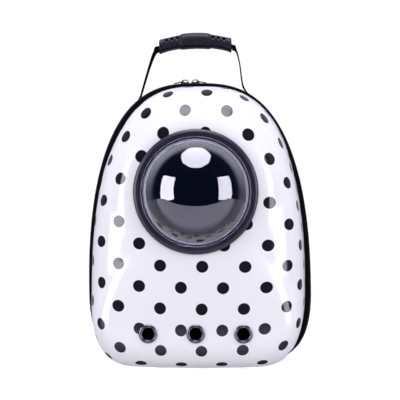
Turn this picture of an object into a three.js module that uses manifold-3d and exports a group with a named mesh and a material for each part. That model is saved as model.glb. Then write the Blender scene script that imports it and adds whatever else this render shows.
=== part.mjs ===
// Pet carrier backpack: a moulded front shell with a clear domed window, zipped to a soft back with a
// carrying handle and two shoulder straps. Millimetres, +Z up, -Y is the front.
// The origin is the middle of the flat base that the bag stands on.
import * as THREE from 'three';
import { ParametricGeometry } from 'three/addons/geometries/ParametricGeometry.js';
import { mergeVertices } from 'three/addons/utils/BufferGeometryUtils.js';
import Module from 'manifold-3d';

const wasm = await Module();
wasm.setup();

// Driving dimensions

const GAP = 0.3; // left between neighbouring pieces
const TURNS = 56; // steps round the bag's outline
const ROUND = 36; // steps round the window

// The bag's outline seen from the front, at its widest, along the zip.
const BAG = {
  half: 162, top: 406.5, widestZ: 112, flatHalf: 82, cornerCurl: 0.74, crownCurlX: 0.72, crownCurlZ: 0.876,
};
// Where the base and the lower corner end along half the outline.
const OUTLINE_SHARE = { base: 0.13, corner: 0.37 };

// The soft back leans against the moulded front by this much, as a bag does when it is set down.
const LEAN = { slope: 0.0168, aboutZ: 180 };

const SHELL = {
  sideInset: 7.4, topInset: 5, rimY: 10, depth: 137, wall: 3, draft: 0.045, press: 0.5,
  sidePower: 4.6, topPower: 4.4, basePower: 13, // how square the front's edges are
  baseTurn: [0.68, 0.92], // where the side's edge turns into the base's, as the sine of the ray downwards
  crownShift: 2.6, crownFrom: [272, 345], // how far the rim's crown sits to the right, and the heights between
};
// Stations from the rim to the window's land and its hole.
const SHELL_CLIMB = [0, 0.3, 0.46, 0.54, 0.6, 0.67, 0.78, 0.89, 1, 2];

const WINDOW = { z: 247, holeRadius: 70, landRadius: 92, landFade: 28, landRecess: 2 };
const DOME = { radius: 76, height: 60, wall: 2, flangeRadius: 80.5, flangeThick: 2 };
const RING = { outer: 87, inner: 76.8, height: 6.9, edge: 1.8 };

const VENT = {
  pitch: 66, z: 50, holeRadius: 8.6, barrelRadius: 10, flangeRadius: 13.1, proud: 2.2, seat: 0.55,
};

const CLOTH = { tape: 1.5, gusset: 3, webbing: 1.6 };
const ZIP = {
  chainY: 24, chainWidth: 7, chainProud: 0.8, chainSunk: 1.2, tapeEndY: 44,
  startTurn: 0.12, hingeGapTurn: 0.001,
};
const GUSSET_END_Y = 98;

// Each row is one station from front to back; inset is how far it lies inside the bag's outline.
const TAPE_FRONT = [
  { y: SHELL.rimY + GAP, inset: 7.2 }, { y: 12, inset: 2.8 }, { y: 17, inset: 0 },
  { y: ZIP.chainY, inset: 0 },
];
const TAPE_REAR = [
  { y: ZIP.chainY + ZIP.chainWidth + 2 * GAP, inset: 0 }, { y: ZIP.tapeEndY, inset: 0 },
];
const GUSSET = [
  { y: ZIP.tapeEndY + GAP, inset: 0 }, { y: 70, inset: 1 }, { y: GUSSET_END_Y, inset: 4 },
];
const BACK_PANEL = [
  { y: GUSSET_END_Y + GAP, inset: 60 }, { y: GUSSET_END_Y + GAP, inset: 4 }, { y: 102, inset: 3.4 },
  { y: 106, inset: 6 }, { y: 109, inset: 14 }, { y: 113, inset: 60 },
];

// Zip sliders and their pulls, at the crown of the zip.
const SLIDER = {
  x: [-17.4, -2], length: 12, halfWidth: 5.4, plate: 1.2, flange: 1.1, bridge: 2.4, arch: 3.9, bar: 1.3,
};
const PULL = {
  pivotX: 2, pivotZ: 1.3, length: 15, width: 8.4, thick: 1.1, bar: 1.3, eyeLength: 5.6, eyeWidth: 4.6, droop: 9.5,
};

// Carrying handle, in the plane of the gusset: half of the strap, used on both sides. Its tail lies on the
// bag's crown, then it rises to the grip. The handle sits a little to the left, its feet more than its grip,
// and tilts.
const HANDLE = {
  y: 60, width: 25, gripHalf: 53.5, crownZ: 472.5, drop: 8.2, footShift: -6.6, gripShift: -2.2, tilt: 0.02,
};
const HANDLE_TAIL = [{ x: 112, lift: 0 }, { x: 96, lift: 0 }, { x: 83, lift: 0.1 }, { x: 77, lift: 2.6 }];
const HANDLE_RISE = [{ x: 74.2, z: 404 }, { x: 66, z: 440 }, { x: 61.2, z: 456 }, { x: 57.2, z: 462.3 }];
const GRIP = [
  { x: 53.5, tall: 10.9, deep: 16.6 }, { x: 50.5, tall: 10.4, deep: 16.2 },
  { x: 40, tall: 9.9, deep: 15.8 }, { x: 24, tall: 10.1, deep: 16 },
  { x: 20.5, tall: 11.7, deep: 16.8 }, { x: 10, tall: 11.8, deep: 17 },
];
const GRIP_BORE = { tall: 2.3, deep: 14.4 };
const GRIP_SLOT = { x: [26.6, 34.4, 42.6], width: 3.6, floor: 12.2, foot: 3.1, tall: 5.5 };

// Shoulder straps: the right one's centre line from the top of the back panel down to its buckle.
const SHOULDER = { width: 62, thick: 10, endWidth: 40 };
const SHOULDER_LINE = [
  { x: 45, y: 113.6, z: 356 }, { x: 46, y: 125, z: 359 }, { x: 49, y: 138, z: 350 },
  { x: 55, y: 146, z: 326 }, { x: 63, y: 151, z: 290 }, { x: 71, y: 151, z: 250 },
  { x: 79, y: 147, z: 212 }, { x: 86, y: 140, z: 178 },
];
const BUCKLE = { width: 36, height: 27, thick: 4, bar: 5 };
const WEBBING = { width: 25, thick: 1.6 };
// The webbing's turn round the buckle's lower bar: down from the buckle's top edge, and out from its middle.
const WEBBING_TURN = [
  { down: 64, out: 5 }, { down: 30, out: 3.7 }, { down: 24, out: 3.6 }, { down: 20.7, out: 2.8 },
  { down: 19.4, out: 0 }, { down: 20.7, out: -2.8 }, { down: 24, out: -3.6 }, { down: 30, out: -3.7 },
];
// From there it runs down to the lower corner of the back panel.
const WEBBING_FOOT = [
  { x: 107, y: 123, z: 96 }, { x: 118, y: 114.5, z: 60 }, { x: 125, y: 112, z: 36 },
];

const MATERIAL = {
  coatedCloth: new THREE.MeshStandardMaterial({ color: 0xf3f2f6, roughness: 0.28 }),
  blackTape: new THREE.MeshStandardMaterial({ color: 0x131216, roughness: 0.75 }),
  blackCloth: new THREE.MeshStandardMaterial({ color: 0x18171b, roughness: 0.85 }),
  blackPlastic: new THREE.MeshStandardMaterial({ color: 0x2a2730, roughness: 0.35 }),
  blackMetal: new THREE.MeshStandardMaterial({ color: 0x1b1b1f, roughness: 0.35, metalness: 0.8 }),
  clearPlastic: new THREE.MeshStandardMaterial({
    color: 0xdfe3ea, roughness: 0.03, transparent: true, opacity: 0.25,
  }),
  nickel: new THREE.MeshStandardMaterial({ color: 0x8f8d93, roughness: 0.3, metalness: 1 }),
  gripRubber: new THREE.MeshStandardMaterial({ color: 0x2b2832, roughness: 0.6 }),
};

// Small helpers

const point = (x, y, z) => new THREE.Vector3(x, y, z);
const mix = (from, to, share) => from + (to - from) * share;
const degrees = (angle) => THREE.MathUtils.degToRad(angle);
const steps = (count) => Array.from({ length: count }, (_, i) => i / count);

// One closed surface: vertices that coincide are joined, and faces that this collapses are dropped.
function weld(geometry) {
  geometry.deleteAttribute('normal');
  geometry.deleteAttribute('uv');
  const merged = mergeVertices(geometry, 1e-3);
  const faces = [];
  for (let i = 0; i < merged.index.count; i += 3) {
    const [a, b, c] = [0, 1, 2].map((k) => merged.index.getX(i + k));
    if (a !== b && b !== c && c !== a) faces.push(a, b, c);
  }
  return merged.setIndex(faces);
}

function volumeOf(geometry) {
  const corner = [point(), point(), point()];
  let sum = 0;
  for (let i = 0; i < geometry.index.count; i += 3) {
    corner.forEach((p, k) => p.fromBufferAttribute(geometry.attributes.position, geometry.index.getX(i + k)));
    sum += corner[0].dot(corner[1].clone().cross(corner[2])) / 6;
  }
  return sum;
}

function faceOut(geometry) {
  if (volumeOf(geometry) < 0) geometry.setIndex([...geometry.index.array].reverse());
  return geometry;
}

// A solid skinned over closed loops of points. A ring joins its last loop to its first; a bar gets end caps.
function skin(loops, ring = false) {
  const middle = (loop) => loop.reduce((sum, p) => sum.add(p), point(0, 0, 0)).divideScalar(loop.length);
  const cap = (loop) => loop.map(() => middle(loop));
  const rows = ring ? [...loops, loops[0]] : [cap(loops[0]), ...loops, cap(loops.at(-1))];
  const across = loops[0].length;
  const at = (u, v, target) => {
    const row = rows[Math.round(v * (rows.length - 1))];
    return target.copy(row[Math.round(u * across) % across]);
  };
  return faceOut(weld(new ParametricGeometry(at, across, rows.length - 1)));
}

function solidOf(geometry) {
  const welded = faceOut(weld(geometry.index ? geometry.clone() : mergeVertices(geometry)));
  return new wasm.Manifold(new wasm.Mesh({
    numProp: 3,
    vertProperties: new Float32Array(welded.attributes.position.array),
    triVerts: new Uint32Array(welded.index.array),
  }));
}

function geometryOf(solid) {
  const { vertProperties, triVerts } = solid.getMesh();
  return new THREE.BufferGeometry()
    .setAttribute('position', new THREE.BufferAttribute(vertProperties, 3))
    .setIndex(new THREE.BufferAttribute(triVerts, 1));
}

const cut = (geometry, tools) => geometryOf(
  tools.map(solidOf).reduce((left, tool) => left.subtract(tool), solidOf(geometry)),
);
const join = (...parts) => geometryOf(parts.map(solidOf).reduce((sum, part) => sum.add(part)));

// The bag's outline

// A point of the outline at the given turn, from the middle of the base round by the right and the crown.
function outline(turn, { half, top, base = 0 }) {
  const side = turn <= 0.5 ? 1 : -1;
  const along = turn <= 0.5 ? 2 * turn : 2 - 2 * turn;
  const { base: baseEnd, corner: cornerEnd } = OUTLINE_SHARE;
  if (along <= baseEnd) return { x: side * BAG.flatHalf * along / baseEnd, z: base };
  const lower = along <= cornerEnd;
  const share = lower ? (along - baseEnd) / (cornerEnd - baseEnd) : (along - cornerEnd) / (1 - cornerEnd);
  const [c, s] = [Math.max(0, Math.cos(share * Math.PI / 2)), Math.sin(share * Math.PI / 2)];
  if (lower) {
    const x = mix(BAG.flatHalf, half, s ** BAG.cornerCurl);
    return { x: side * x, z: mix(BAG.widestZ, base, c ** BAG.cornerCurl) };
  }
  return { x: side * half * c ** BAG.crownCurlX, z: mix(BAG.widestZ, top, s ** BAG.crownCurlZ) };
}

const insetOutline = (turn, inset, base) => outline(turn, {
  half: BAG.half - inset, top: BAG.top - inset, base,
});

const leanAt = (z) => -LEAN.slope * (z - LEAN.aboutZ);
const leaned = (p, share = 1) => point(p.x + share * leanAt(p.z), p.y, p.z);

// The crown of the outline at a given x: its height and its slope.
function crownAt(x) {
  const height = (at) => {
    const c = (Math.abs(at) / BAG.half) ** (1 / BAG.crownCurlX);
    return mix(BAG.widestZ, BAG.top, Math.sqrt(1 - c * c) ** BAG.crownCurlZ);
  };
  return { z: height(x), slope: height(x + 0.5) - height(x - 0.5) };
}

// A cloth wall that follows the outline, through stations from front to back.
function clothRing(stations, wall, leanShare = () => 1) {
  const loop = ({ y, inset }, depth) => steps(TURNS).map((turn) => {
    const { x, z } = insetOutline(turn, inset + depth, depth);
    return leaned(point(x, y, z), leanShare(y));
  });
  const outer = stations.map((station) => loop(station, 0));
  const inner = stations.map((station) => loop(station, wall)).reverse();
  return skin([...outer, ...inner], true);
}

// Moulded shell

// A point of the shell's surface. climb runs from 0 at the rim to 1 at the flat land round the window and on
// to 2 at the window's hole, and wall is how far inside the outer surface the point lies. The section is a
// superellipse whose power turns with the ray from the window's middle to the rim.
function shellPoint(turn, climb, wall = 0) {
  const rim = outline(turn, {
    half: BAG.half - SHELL.sideInset - wall, top: BAG.top - SHELL.topInset - wall, base: wall,
  });
  const ray = new THREE.Vector2(rim.x, rim.z - WINDOW.z);
  const length = ray.length();
  const rise = ray.y / length;
  const power = rise > 0
    ? mix(SHELL.sidePower, SHELL.topPower, rise * rise)
    : mix(SHELL.sidePower, SHELL.basePower, THREE.MathUtils.smoothstep(-rise, ...SHELL.baseTurn));
  const draft = SHELL.draft * (rise > 0 ? 1 : 1 - rise ** 4);
  const landShare = WINDOW.landRadius / (length * (1 - draft));
  const angle = Math.min(climb, 1) * Math.atan2((1 - landShare ** power) ** (1 / power), landShare);
  const size = (Math.cos(angle) ** power + Math.sin(angle) ** power) ** (-1 / power);
  const depth = size * Math.sin(angle);
  const radius = climb < 1
    ? size * Math.cos(angle) * (1 - draft * depth) * length
    : mix(WINDOW.landRadius, WINDOW.holeRadius, climb - 1);
  const fade = THREE.MathUtils.smoothstep(radius, WINDOW.landRadius, WINDOW.landRadius + WINDOW.landFade);
  const y = SHELL.rimY - mix(SHELL.depth - WINDOW.landRecess - wall, (SHELL.depth - wall) * depth, fade);
  ray.multiplyScalar(radius / length);
  const z = Math.max(wall, WINDOW.z + ray.y - SHELL.press);
  const shift = SHELL.crownShift * THREE.MathUtils.smoothstep(z, ...SHELL.crownFrom) * (1 - depth ** 2);
  return point(ray.x + shift, y, z);
}

// The outer surface's point and normal nearest to a place seen from the front, found by walking towards it.
function shellSeat(x, z) {
  let best = { turn: 0, climb: 0.8 };
  let miss = Infinity;
  for (let step = 0.25; step > 1e-6; step /= 1.6) {
    for (const [dt, dc] of [[0, 0], [1, 0], [-1, 0], [0, 1], [0, -1], [1, 1], [-1, -1], [1, -1], [-1, 1]]) {
      const turn = (best.turn + dt * step + 1) % 1;
      const climb = THREE.MathUtils.clamp(best.climb + dc * step, 0.5, 1);
      const p = shellPoint(turn, climb);
      const far = Math.hypot(p.x - x, p.z - z);
      if (far < miss) [miss, best] = [far, { turn, climb }];
    }
  }
  const step = 1e-3;
  const place = shellPoint(best.turn, best.climb);
  const along = shellPoint((best.turn + step) % 1, best.climb).sub(place);
  const normal = along.cross(shellPoint(best.turn, best.climb + step).sub(place)).normalize();
  return { place, normal: normal.y > 0 ? normal.negate() : normal };
}

const ventPlaces = [-VENT.pitch, 0, VENT.pitch].map((x) => shellSeat(x, VENT.z));

// Turns a shape made round +Y so that +Y points along a seat's normal, and puts it there.
function seated(geometry, { place, normal }) {
  const turn = new THREE.Quaternion().setFromUnitVectors(point(0, 1, 0), normal);
  return geometry.applyQuaternion(turn).translate(place.x, place.y, place.z);
}

function shell() {
  const loop = (climb, wall) => steps(TURNS).map((turn) => shellPoint(turn, climb, wall));
  const outer = SHELL_CLIMB.map((climb) => loop(climb, 0));
  const inner = SHELL_CLIMB.map((climb) => loop(climb, SHELL.wall)).reverse();
  const bore = VENT.barrelRadius + GAP;
  const drill = () => new THREE.CylinderGeometry(bore, bore, 8 * SHELL.wall, 20);
  return cut(skin([...outer, ...inner], true), ventPlaces.map((seat) => seated(drill(), seat)));
}

// Window

const landY = SHELL.rimY - SHELL.depth + WINDOW.landRecess;
const profile = (rows) => rows.map(([radius, height]) => new THREE.Vector2(radius, height));

// A shape turned round the window's axis: heights count forward from the shell's flat land.
function windowLathe(rows) {
  return weld(new THREE.LatheGeometry(profile(rows), ROUND)).rotateX(Math.PI).translate(0, landY, WINDOW.z);
}

// The dome's cap as rows of radius and height, from the flange up to the apex.
function capRows(radius, height, foot, count) {
  const sphere = (radius ** 2 + height ** 2) / (2 * height);
  const open = Math.asin(radius / sphere);
  return Array.from({ length: count + 1 }, (_, i) => {
    const angle = open * (1 - i / count);
    return [sphere * Math.sin(angle), foot + height - sphere * (1 - Math.cos(angle))];
  });
}

function windowDome() {
  const { radius, height, wall, flangeRadius, flangeThick } = DOME;
  const foot = GAP + flangeThick;
  const inside = capRows(radius - wall, height - wall, foot, 5).reverse();
  const outside = capRows(radius, height, foot, 6);
  return faceOut(windowLathe([
    ...inside, [radius - wall, GAP], [flangeRadius, GAP], [flangeRadius, foot], ...outside,
  ]));
}

function windowRing() {
  const { outer, inner, height, edge } = RING;
  const rebate = DOME.flangeRadius + GAP;
  const ledge = GAP + DOME.flangeThick + GAP;
  return faceOut(windowLathe([
    [rebate, GAP], [outer - 0.4, GAP], [outer, edge], [outer - 1.2, 0.62 * height],
    [outer - 3.6, 0.92 * height], [outer - 6, height], [inner + 1.4, 0.9 * height],
    [inner, 0.66 * height], [inner, ledge], [rebate, ledge], [rebate, GAP],
  ]));
}

// Vents: a flanged metal eyelet set through the shell, rolled over behind it.
function ventEyelet(seat) {
  const { holeRadius, barrelRadius, flangeRadius, proud, seat: lift } = VENT;
  const back = -SHELL.wall - 1.4;
  const rows = [
    [barrelRadius, lift], [flangeRadius, lift], [flangeRadius - 0.4, 0.6 * proud + lift],
    [flangeRadius - 1.8, proud + lift], [holeRadius + 0.9, 0.75 * proud + lift], [holeRadius, 0],
    [holeRadius, back], [barrelRadius, back], [barrelRadius, lift],
  ];
  return seated(faceOut(weld(new THREE.LatheGeometry(profile(rows), 18))), seat);
}

// Zip

// A strip between the two tapes, along a stretch of the outline; its section gives how far it stands proud.
function stripBetweenTapes(section, fromTurn, toTurn, count) {
  const loops = Array.from({ length: count + 1 }, (_, i) => {
    const turn = (mix(fromTurn, toTurn, i / count) + 1) % 1;
    return section.map(({ across, proud }) => {
      const { x, z } = insetOutline(turn, -proud, Math.max(0, -proud));
      return leaned(point(x, ZIP.chainY + GAP + across, z));
    });
  });
  return skin(loops);
}

// The interlocked coils, round both sides and the crown.
function zipChain() {
  const { startTurn, chainWidth, chainProud, chainSunk } = ZIP;
  const section = [
    { across: 0, proud: -chainSunk }, { across: 0, proud: 0.4 },
    { across: 0.3 * chainWidth, proud: chainProud }, { across: 0.7 * chainWidth, proud: chainProud },
    { across: chainWidth, proud: 0.4 }, { across: chainWidth, proud: -chainSunk },
  ];
  return stripBetweenTapes(section, startTurn, 1 - startTurn, 44);
}

// Under the bag the zip stops, and a cloth hinge joins the tapes; the front would fold down on it.
function baseHinge() {
  const reach = ZIP.startTurn - ZIP.hingeGapTurn;
  const section = [
    { across: 0, proud: -CLOTH.tape }, { across: 0, proud: 0 },
    { across: ZIP.chainWidth, proud: 0 }, { across: ZIP.chainWidth, proud: -CLOTH.tape },
  ];
  return stripBetweenTapes(section, -reach, reach, 14);
}

// A bent section pushed through along +Y, centred on y = 0.
function slab(shape, thick) {
  return new THREE.ExtrudeGeometry(shape, { depth: thick, bevelEnabled: false, curveSegments: 6 })
    .translate(0, 0, -thick / 2).rotateX(Math.PI / 2);
}

const polygon = (rows) => new THREE.Shape(rows.map(([x, z]) => new THREE.Vector2(x, z)));

// A slider straddles the chain: a plate with two flanges, and the bridge that holds the pull.
function zipSlider() {
  const { length, halfWidth, plate, flange, bridge, arch, bar } = SLIDER;
  const floor = -ZIP.chainProud;
  const channel = polygon([
    [-halfWidth, floor], [-halfWidth, plate], [halfWidth, plate], [halfWidth, floor],
    [halfWidth - flange, floor], [halfWidth - flange, 0],
    [flange - halfWidth, 0], [flange - halfWidth, floor],
  ]);
  const body = new THREE.ExtrudeGeometry(channel, { depth: length, bevelEnabled: false })
    .translate(0, 0, -length / 2).rotateX(Math.PI / 2).rotateZ(Math.PI / 2);
  const half = length / 2 - 0.6;
  const foot = plate - 0.4;
  const top = plate + arch;
  const loop = polygon([
    [-half, foot], [-half + 0.8, top - 1.6], [-half + 2.6, top],
    [half - 2.6, top], [half - 0.8, top - 1.6], [half, foot],
    [half - bar, foot], [half - bar - 0.5, top - bar - 0.9], [half - bar - 1.4, top - bar],
    [-half + bar + 1.4, top - bar], [-half + bar + 0.5, top - bar - 0.9], [-half + bar, foot],
  ]);
  return join(body, slab(loop, bridge));
}

// A pull is a flat tab whose eye goes round the bridge; its crossbar is the axis that it swings on.
function zipPull() {
  const { length, width, thick, bar, eyeLength, eyeWidth } = PULL;
  const rounding = 2.4;
  const half = width / 2;
  const end = length - bar / 2;
  const tab = new THREE.Shape();
  tab.moveTo(-bar / 2, -half + 1).lineTo(-bar / 2, half - 1);
  tab.lineTo(1 - bar / 2, half).lineTo(end - rounding, half);
  tab.absarc(end - rounding, half - rounding, rounding, Math.PI / 2, 0, true);
  tab.absarc(end - rounding, rounding - half, rounding, 0, -Math.PI / 2, true);
  tab.lineTo(1 - bar / 2, -half).closePath();
  const eye = new THREE.Path();
  eye.moveTo(bar / 2, -eyeWidth / 2).lineTo(bar / 2 + eyeLength, -eyeWidth / 2);
  eye.lineTo(bar / 2 + eyeLength, eyeWidth / 2).lineTo(bar / 2, eyeWidth / 2).closePath();
  tab.holes.push(eye);
  return weld(new THREE.ExtrudeGeometry(tab, { depth: thick, bevelEnabled: false, curveSegments: 4 })
    .translate(0, 0, -thick / 2));
}

// The frame of a slider: on top of the chain, level with the crown's slope there.
function sliderGroup(x) {
  const { z, slope } = crownAt(x);
  const group = new THREE.Group();
  group.position.copy(leaned(point(x, ZIP.chainY + GAP + ZIP.chainWidth / 2, z + ZIP.chainProud + GAP)));
  group.rotation.y = -Math.atan(slope);
  return group;
}

function addSlider(bag, name, x, outward) {
  const group = sliderGroup(x);
  group.add(piece(`zip_slider_${name}`, zipSlider(), MATERIAL.blackMetal));
  const pull = piece(`zip_pull_${name}`, zipPull(), MATERIAL.blackMetal);
  pull.position.set(outward * PULL.pivotX, 0, SLIDER.plate + PULL.pivotZ);
  pull.rotation.set(0, degrees(PULL.droop), outward > 0 ? 0 : Math.PI, 'ZYX');
  group.add(pull);
  bag.add(group);
}

// Soft back

function backPanel() {
  const loops = BACK_PANEL.map(({ y, inset }) => steps(TURNS).map((turn) => {
    const { x, z } = insetOutline(turn, inset, Math.max(0, inset - BACK_PANEL[1].inset));
    return leaned(point(x, y, z));
  }));
  return skin(loops);
}

// A flat strap along a line of points; across is the direction that its width keeps to.
function ribbon(line, sizeAt, across, stepsPerPoint = 2) {
  const curve = new THREE.CatmullRomCurve3(line, false, 'centripetal');
  const count = stepsPerPoint * (line.length - 1);
  const loops = Array.from({ length: count + 1 }, (_, i) => {
    const middle = curve.getPoint(i / count);
    const ahead = curve.getTangent(i / count);
    const wide = across.clone().addScaledVector(ahead, -across.dot(ahead)).normalize();
    const thick = ahead.clone().cross(wide);
    const { width, height, bevel } = sizeAt(i / count);
    const corners = [
      [-1, -1, 1, 0], [-1, -1, 0, 1], [-1, 1, 0, 1], [-1, 1, 1, 0],
      [1, 1, 1, 0], [1, 1, 0, 1], [1, -1, 0, 1], [1, -1, 1, 0],
    ];
    return corners.map(([w, h, inW, inH]) => middle.clone()
      .addScaledVector(wide, w * (width / 2 - inW * bevel))
      .addScaledVector(thick, h * (height / 2 - inH * Math.min(bevel, 0.4 * height))));
  });
  return skin(loops);
}

const webbingSize = (width, height) => () => ({ width, height, bevel: 0.4 * height });

// Carrying handle

// A point of the handle above the bag's crown, with the handle's shift and tilt.
function handlePoint(x, y, z) {
  const share = THREE.MathUtils.smoothstep(z, BAG.top - 10, HANDLE.crownZ - 10);
  return leaned(point(x + mix(HANDLE.footShift, HANDLE.gripShift, share), y, z + share * HANDLE.tilt * x));
}

const gripZ = (x) => HANDLE.crownZ - HANDLE.drop * (x / HANDLE.gripHalf) ** 2;

function handleLine() {
  const tail = (side) => HANDLE_TAIL.map((row) => {
    const x = side * row.x + HANDLE.footShift;
    const { z, slope } = crownAt(x);
    const lift = (GAP + CLOTH.webbing / 2 + row.lift) / Math.hypot(1, slope);
    return leaned(point(x - slope * lift, HANDLE.y, z + lift));
  });
  const rise = (side) => HANDLE_RISE.map(({ x, z }) => handlePoint(side * x, HANDLE.y, z));
  const grip = (side) => [51, 28].map((x) => handlePoint(side * x, HANDLE.y, gripZ(x)));
  const half = (side) => [...tail(side), ...rise(side), ...grip(side)];
  return [...half(1), handlePoint(0, HANDLE.y, gripZ(0)), ...half(-1).reverse()];
}

function handleStrap() {
  return ribbon(handleLine(), webbingSize(HANDLE.width, CLOTH.webbing), point(0, 1, 0));
}

// The grip is a rubber sleeve with a flat bore for the strap, and slots in its upper front and back.
function handleGrip() {
  const sides = 12;
  const oval = (x, tall, deep) => steps(sides).map((turn) => {
    const [c, s] = [Math.cos(turn * 2 * Math.PI), Math.sin(turn * 2 * Math.PI)];
    const power = 2 / 3;
    const y = HANDLE.y + deep * Math.sign(c) * Math.abs(c) ** power;
    const middle = handlePoint(x, y, gripZ(x));
    return middle.setZ(middle.z + tall * Math.sign(s) * Math.abs(s) ** power);
  });
  const left = GRIP.map((row) => ({ ...row, x: -row.x })).reverse();
  const rows = [...GRIP, { ...GRIP.at(-1), x: 0 }, ...left];
  const outer = rows.map(({ x, tall, deep }) => oval(x, tall, deep));
  const inner = rows.map(({ x }) => oval(x, GRIP_BORE.tall, GRIP_BORE.deep)).reverse();
  const slot = (x, face) => {
    const { width, floor, foot, tall } = GRIP_SLOT;
    const { x: at, y, z } = handlePoint(x, HANDLE.y + face * (floor + 5), gripZ(x));
    return new THREE.BoxGeometry(width, 10, tall).translate(at, y, z + foot + tall / 2);
  };
  const slots = GRIP_SLOT.x.flatMap((x) => [slot(x, 1), slot(x, -1), slot(-x, 1), slot(-x, -1)]);
  return cut(skin([...outer, ...inner], true), slots);
}

// Shoulder straps

const sided = (line, side) => line.map(({ x, y, z }) => leaned(point(side * x, y, z)));

function shoulderStrap(side) {
  const size = (share) => ({
    width: mix(SHOULDER.width, SHOULDER.endWidth, THREE.MathUtils.smoothstep(share, 0.55, 1)),
    height: SHOULDER.thick, bevel: 3,
  });
  return ribbon(sided(SHOULDER_LINE, side), size, point(1, 0, 0), 3);
}

// The frame of a buckle: its origin is the middle of the buckle's top edge, just below the padded strap.
function buckleFrame(side) {
  const [before, end] = sided(SHOULDER_LINE.slice(-2), side);
  const down = end.clone().sub(before).normalize();
  const wide = point(1, 0, 0).addScaledVector(down, -down.x).normalize();
  const out = down.clone().cross(wide).negate();
  return { origin: end.clone().addScaledVector(down, 2 * GAP), down, wide, out };
}

// A ladder buckle is a frame whose lower bar carries the webbing.
function strapBuckle(side) {
  const { width, height, bar, thick } = BUCKLE;
  const { origin, down, wide } = buckleFrame(side);
  const box = (inset) => polygon([
    [inset - width / 2, inset], [width / 2 - inset, inset],
    [width / 2 - inset, height - inset], [inset - width / 2, height - inset],
  ]);
  const frame = box(0);
  frame.holes.push(box(bar));
  const turned = new THREE.Matrix4().makeBasis(wide, down, wide.clone().cross(down)).setPosition(origin);
  const plate = new THREE.ExtrudeGeometry(frame, { depth: thick, bevelEnabled: false });
  return weld(plate.translate(0, 0, -thick / 2)).applyMatrix4(turned);
}

function strapWebbing(side) {
  const { origin, down, wide, out } = buckleFrame(side);
  const turn = WEBBING_TURN.map((row) => origin.clone()
    .addScaledVector(down, row.down).addScaledVector(out, row.out));
  const line = [...turn, ...sided(WEBBING_FOOT, side)];
  return ribbon(line, webbingSize(WEBBING.width, WEBBING.thick), wide);
}

// Assembly

function piece(name, geometry, material) {
  const mesh = new THREE.Mesh(geometry, material);
  mesh.name = name;
  return mesh;
}

function backpack() {
  const bag = new THREE.Group();
  const add = (name, geometry, material) => bag.add(piece(name, geometry, material));
  const tapeLean = (y) => THREE.MathUtils.smoothstep(y, TAPE_FRONT[0].y, TAPE_FRONT.at(-1).y);

  add('shell', shell(), MATERIAL.coatedCloth);
  add('window_dome', windowDome(), MATERIAL.clearPlastic);
  add('window_ring', windowRing(), MATERIAL.blackPlastic);
  ['left', 'centre', 'right'].forEach((name, i) => {
    add(`vent_eyelet_${name}`, ventEyelet(ventPlaces[i]), MATERIAL.nickel);
  });

  add('zip_tape_front', clothRing(TAPE_FRONT, CLOTH.tape, tapeLean), MATERIAL.blackTape);
  add('zip_chain', zipChain(), MATERIAL.blackPlastic);
  add('base_hinge', baseHinge(), MATERIAL.blackTape);
  add('zip_tape_rear', clothRing(TAPE_REAR, CLOTH.tape), MATERIAL.blackTape);
  add('rear_gusset', clothRing(GUSSET, CLOTH.gusset), MATERIAL.blackCloth);
  add('back_panel', backPanel(), MATERIAL.blackCloth);

  addSlider(bag, 'left', SLIDER.x[0], -1);
  addSlider(bag, 'right', SLIDER.x[1], 1);

  add('handle_strap', handleStrap(), MATERIAL.blackTape);
  add('handle_grip', handleGrip(), MATERIAL.gripRubber);

  [['left', -1], ['right', 1]].forEach(([name, side]) => {
    add(`shoulder_strap_${name}`, shoulderStrap(side), MATERIAL.blackCloth);
    add(`strap_buckle_${name}`, strapBuckle(side), MATERIAL.blackPlastic);
    add(`strap_webbing_${name}`, strapWebbing(side), MATERIAL.blackTape);
  });
  return bag;
}

export default backpack();
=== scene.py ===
"""Pet carrier backpack: the finished looks of every piece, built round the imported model.

Tables and shapes are in millimetres, +Z up and -Y to the front, with the origin in the middle of the base.
Meshes and properties are in metres.
"""
import math
from types import SimpleNamespace as Table

import bmesh
import bpy
import numpy as np
from bpy.props import FloatProperty, FloatVectorProperty, PointerProperty
from mathutils import Matrix, Vector


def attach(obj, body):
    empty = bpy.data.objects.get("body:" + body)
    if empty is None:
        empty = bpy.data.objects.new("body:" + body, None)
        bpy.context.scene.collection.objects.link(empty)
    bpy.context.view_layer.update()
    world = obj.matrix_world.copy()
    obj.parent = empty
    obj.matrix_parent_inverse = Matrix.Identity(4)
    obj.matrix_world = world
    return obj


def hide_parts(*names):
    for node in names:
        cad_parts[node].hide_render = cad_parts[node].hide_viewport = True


bl_info = {
    "name": "Pet carrier backpack",
    "version": (1, 0, 0),
    "blender": (4, 5, 0),
    "location": "3D View > Sidebar > Backpack",
    "description": "Builds a moulded pet carrier backpack with a domed window round its packed model",
    "category": "Object",
}

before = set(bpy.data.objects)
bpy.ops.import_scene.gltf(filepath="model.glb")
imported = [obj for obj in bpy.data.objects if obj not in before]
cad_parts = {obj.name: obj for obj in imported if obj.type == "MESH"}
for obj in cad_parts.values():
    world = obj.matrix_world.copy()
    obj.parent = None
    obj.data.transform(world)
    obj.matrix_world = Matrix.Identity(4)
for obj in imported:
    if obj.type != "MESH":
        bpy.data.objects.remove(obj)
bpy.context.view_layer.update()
MM = 0.001
# What touching pieces keep between them
GAP = 0.3

# Outline, shell and window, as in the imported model

BAG = Table(half=162, top=406.5, widest_z=112, flat_half=82, corner_curl=0.74, crown_curl_x=0.72,
            crown_curl_z=0.876)
OUTLINE_SHARE = Table(base=0.13, corner=0.37)
LEAN = Table(slope=0.0168, about_z=180)
SHELL = Table(side_inset=7.4, top_inset=5, rim_y=10, depth=137, wall=3, draft=0.045, press=0.5,
              side_power=4.6, top_power=4.4, base_power=13, base_turn=(0.68, 0.92), crown_shift=2.6,
              crown_from=(272, 345))
WINDOW = Table(z=247, hole_radius=70, land_radius=92, land_fade=28, land_recess=2)
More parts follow.
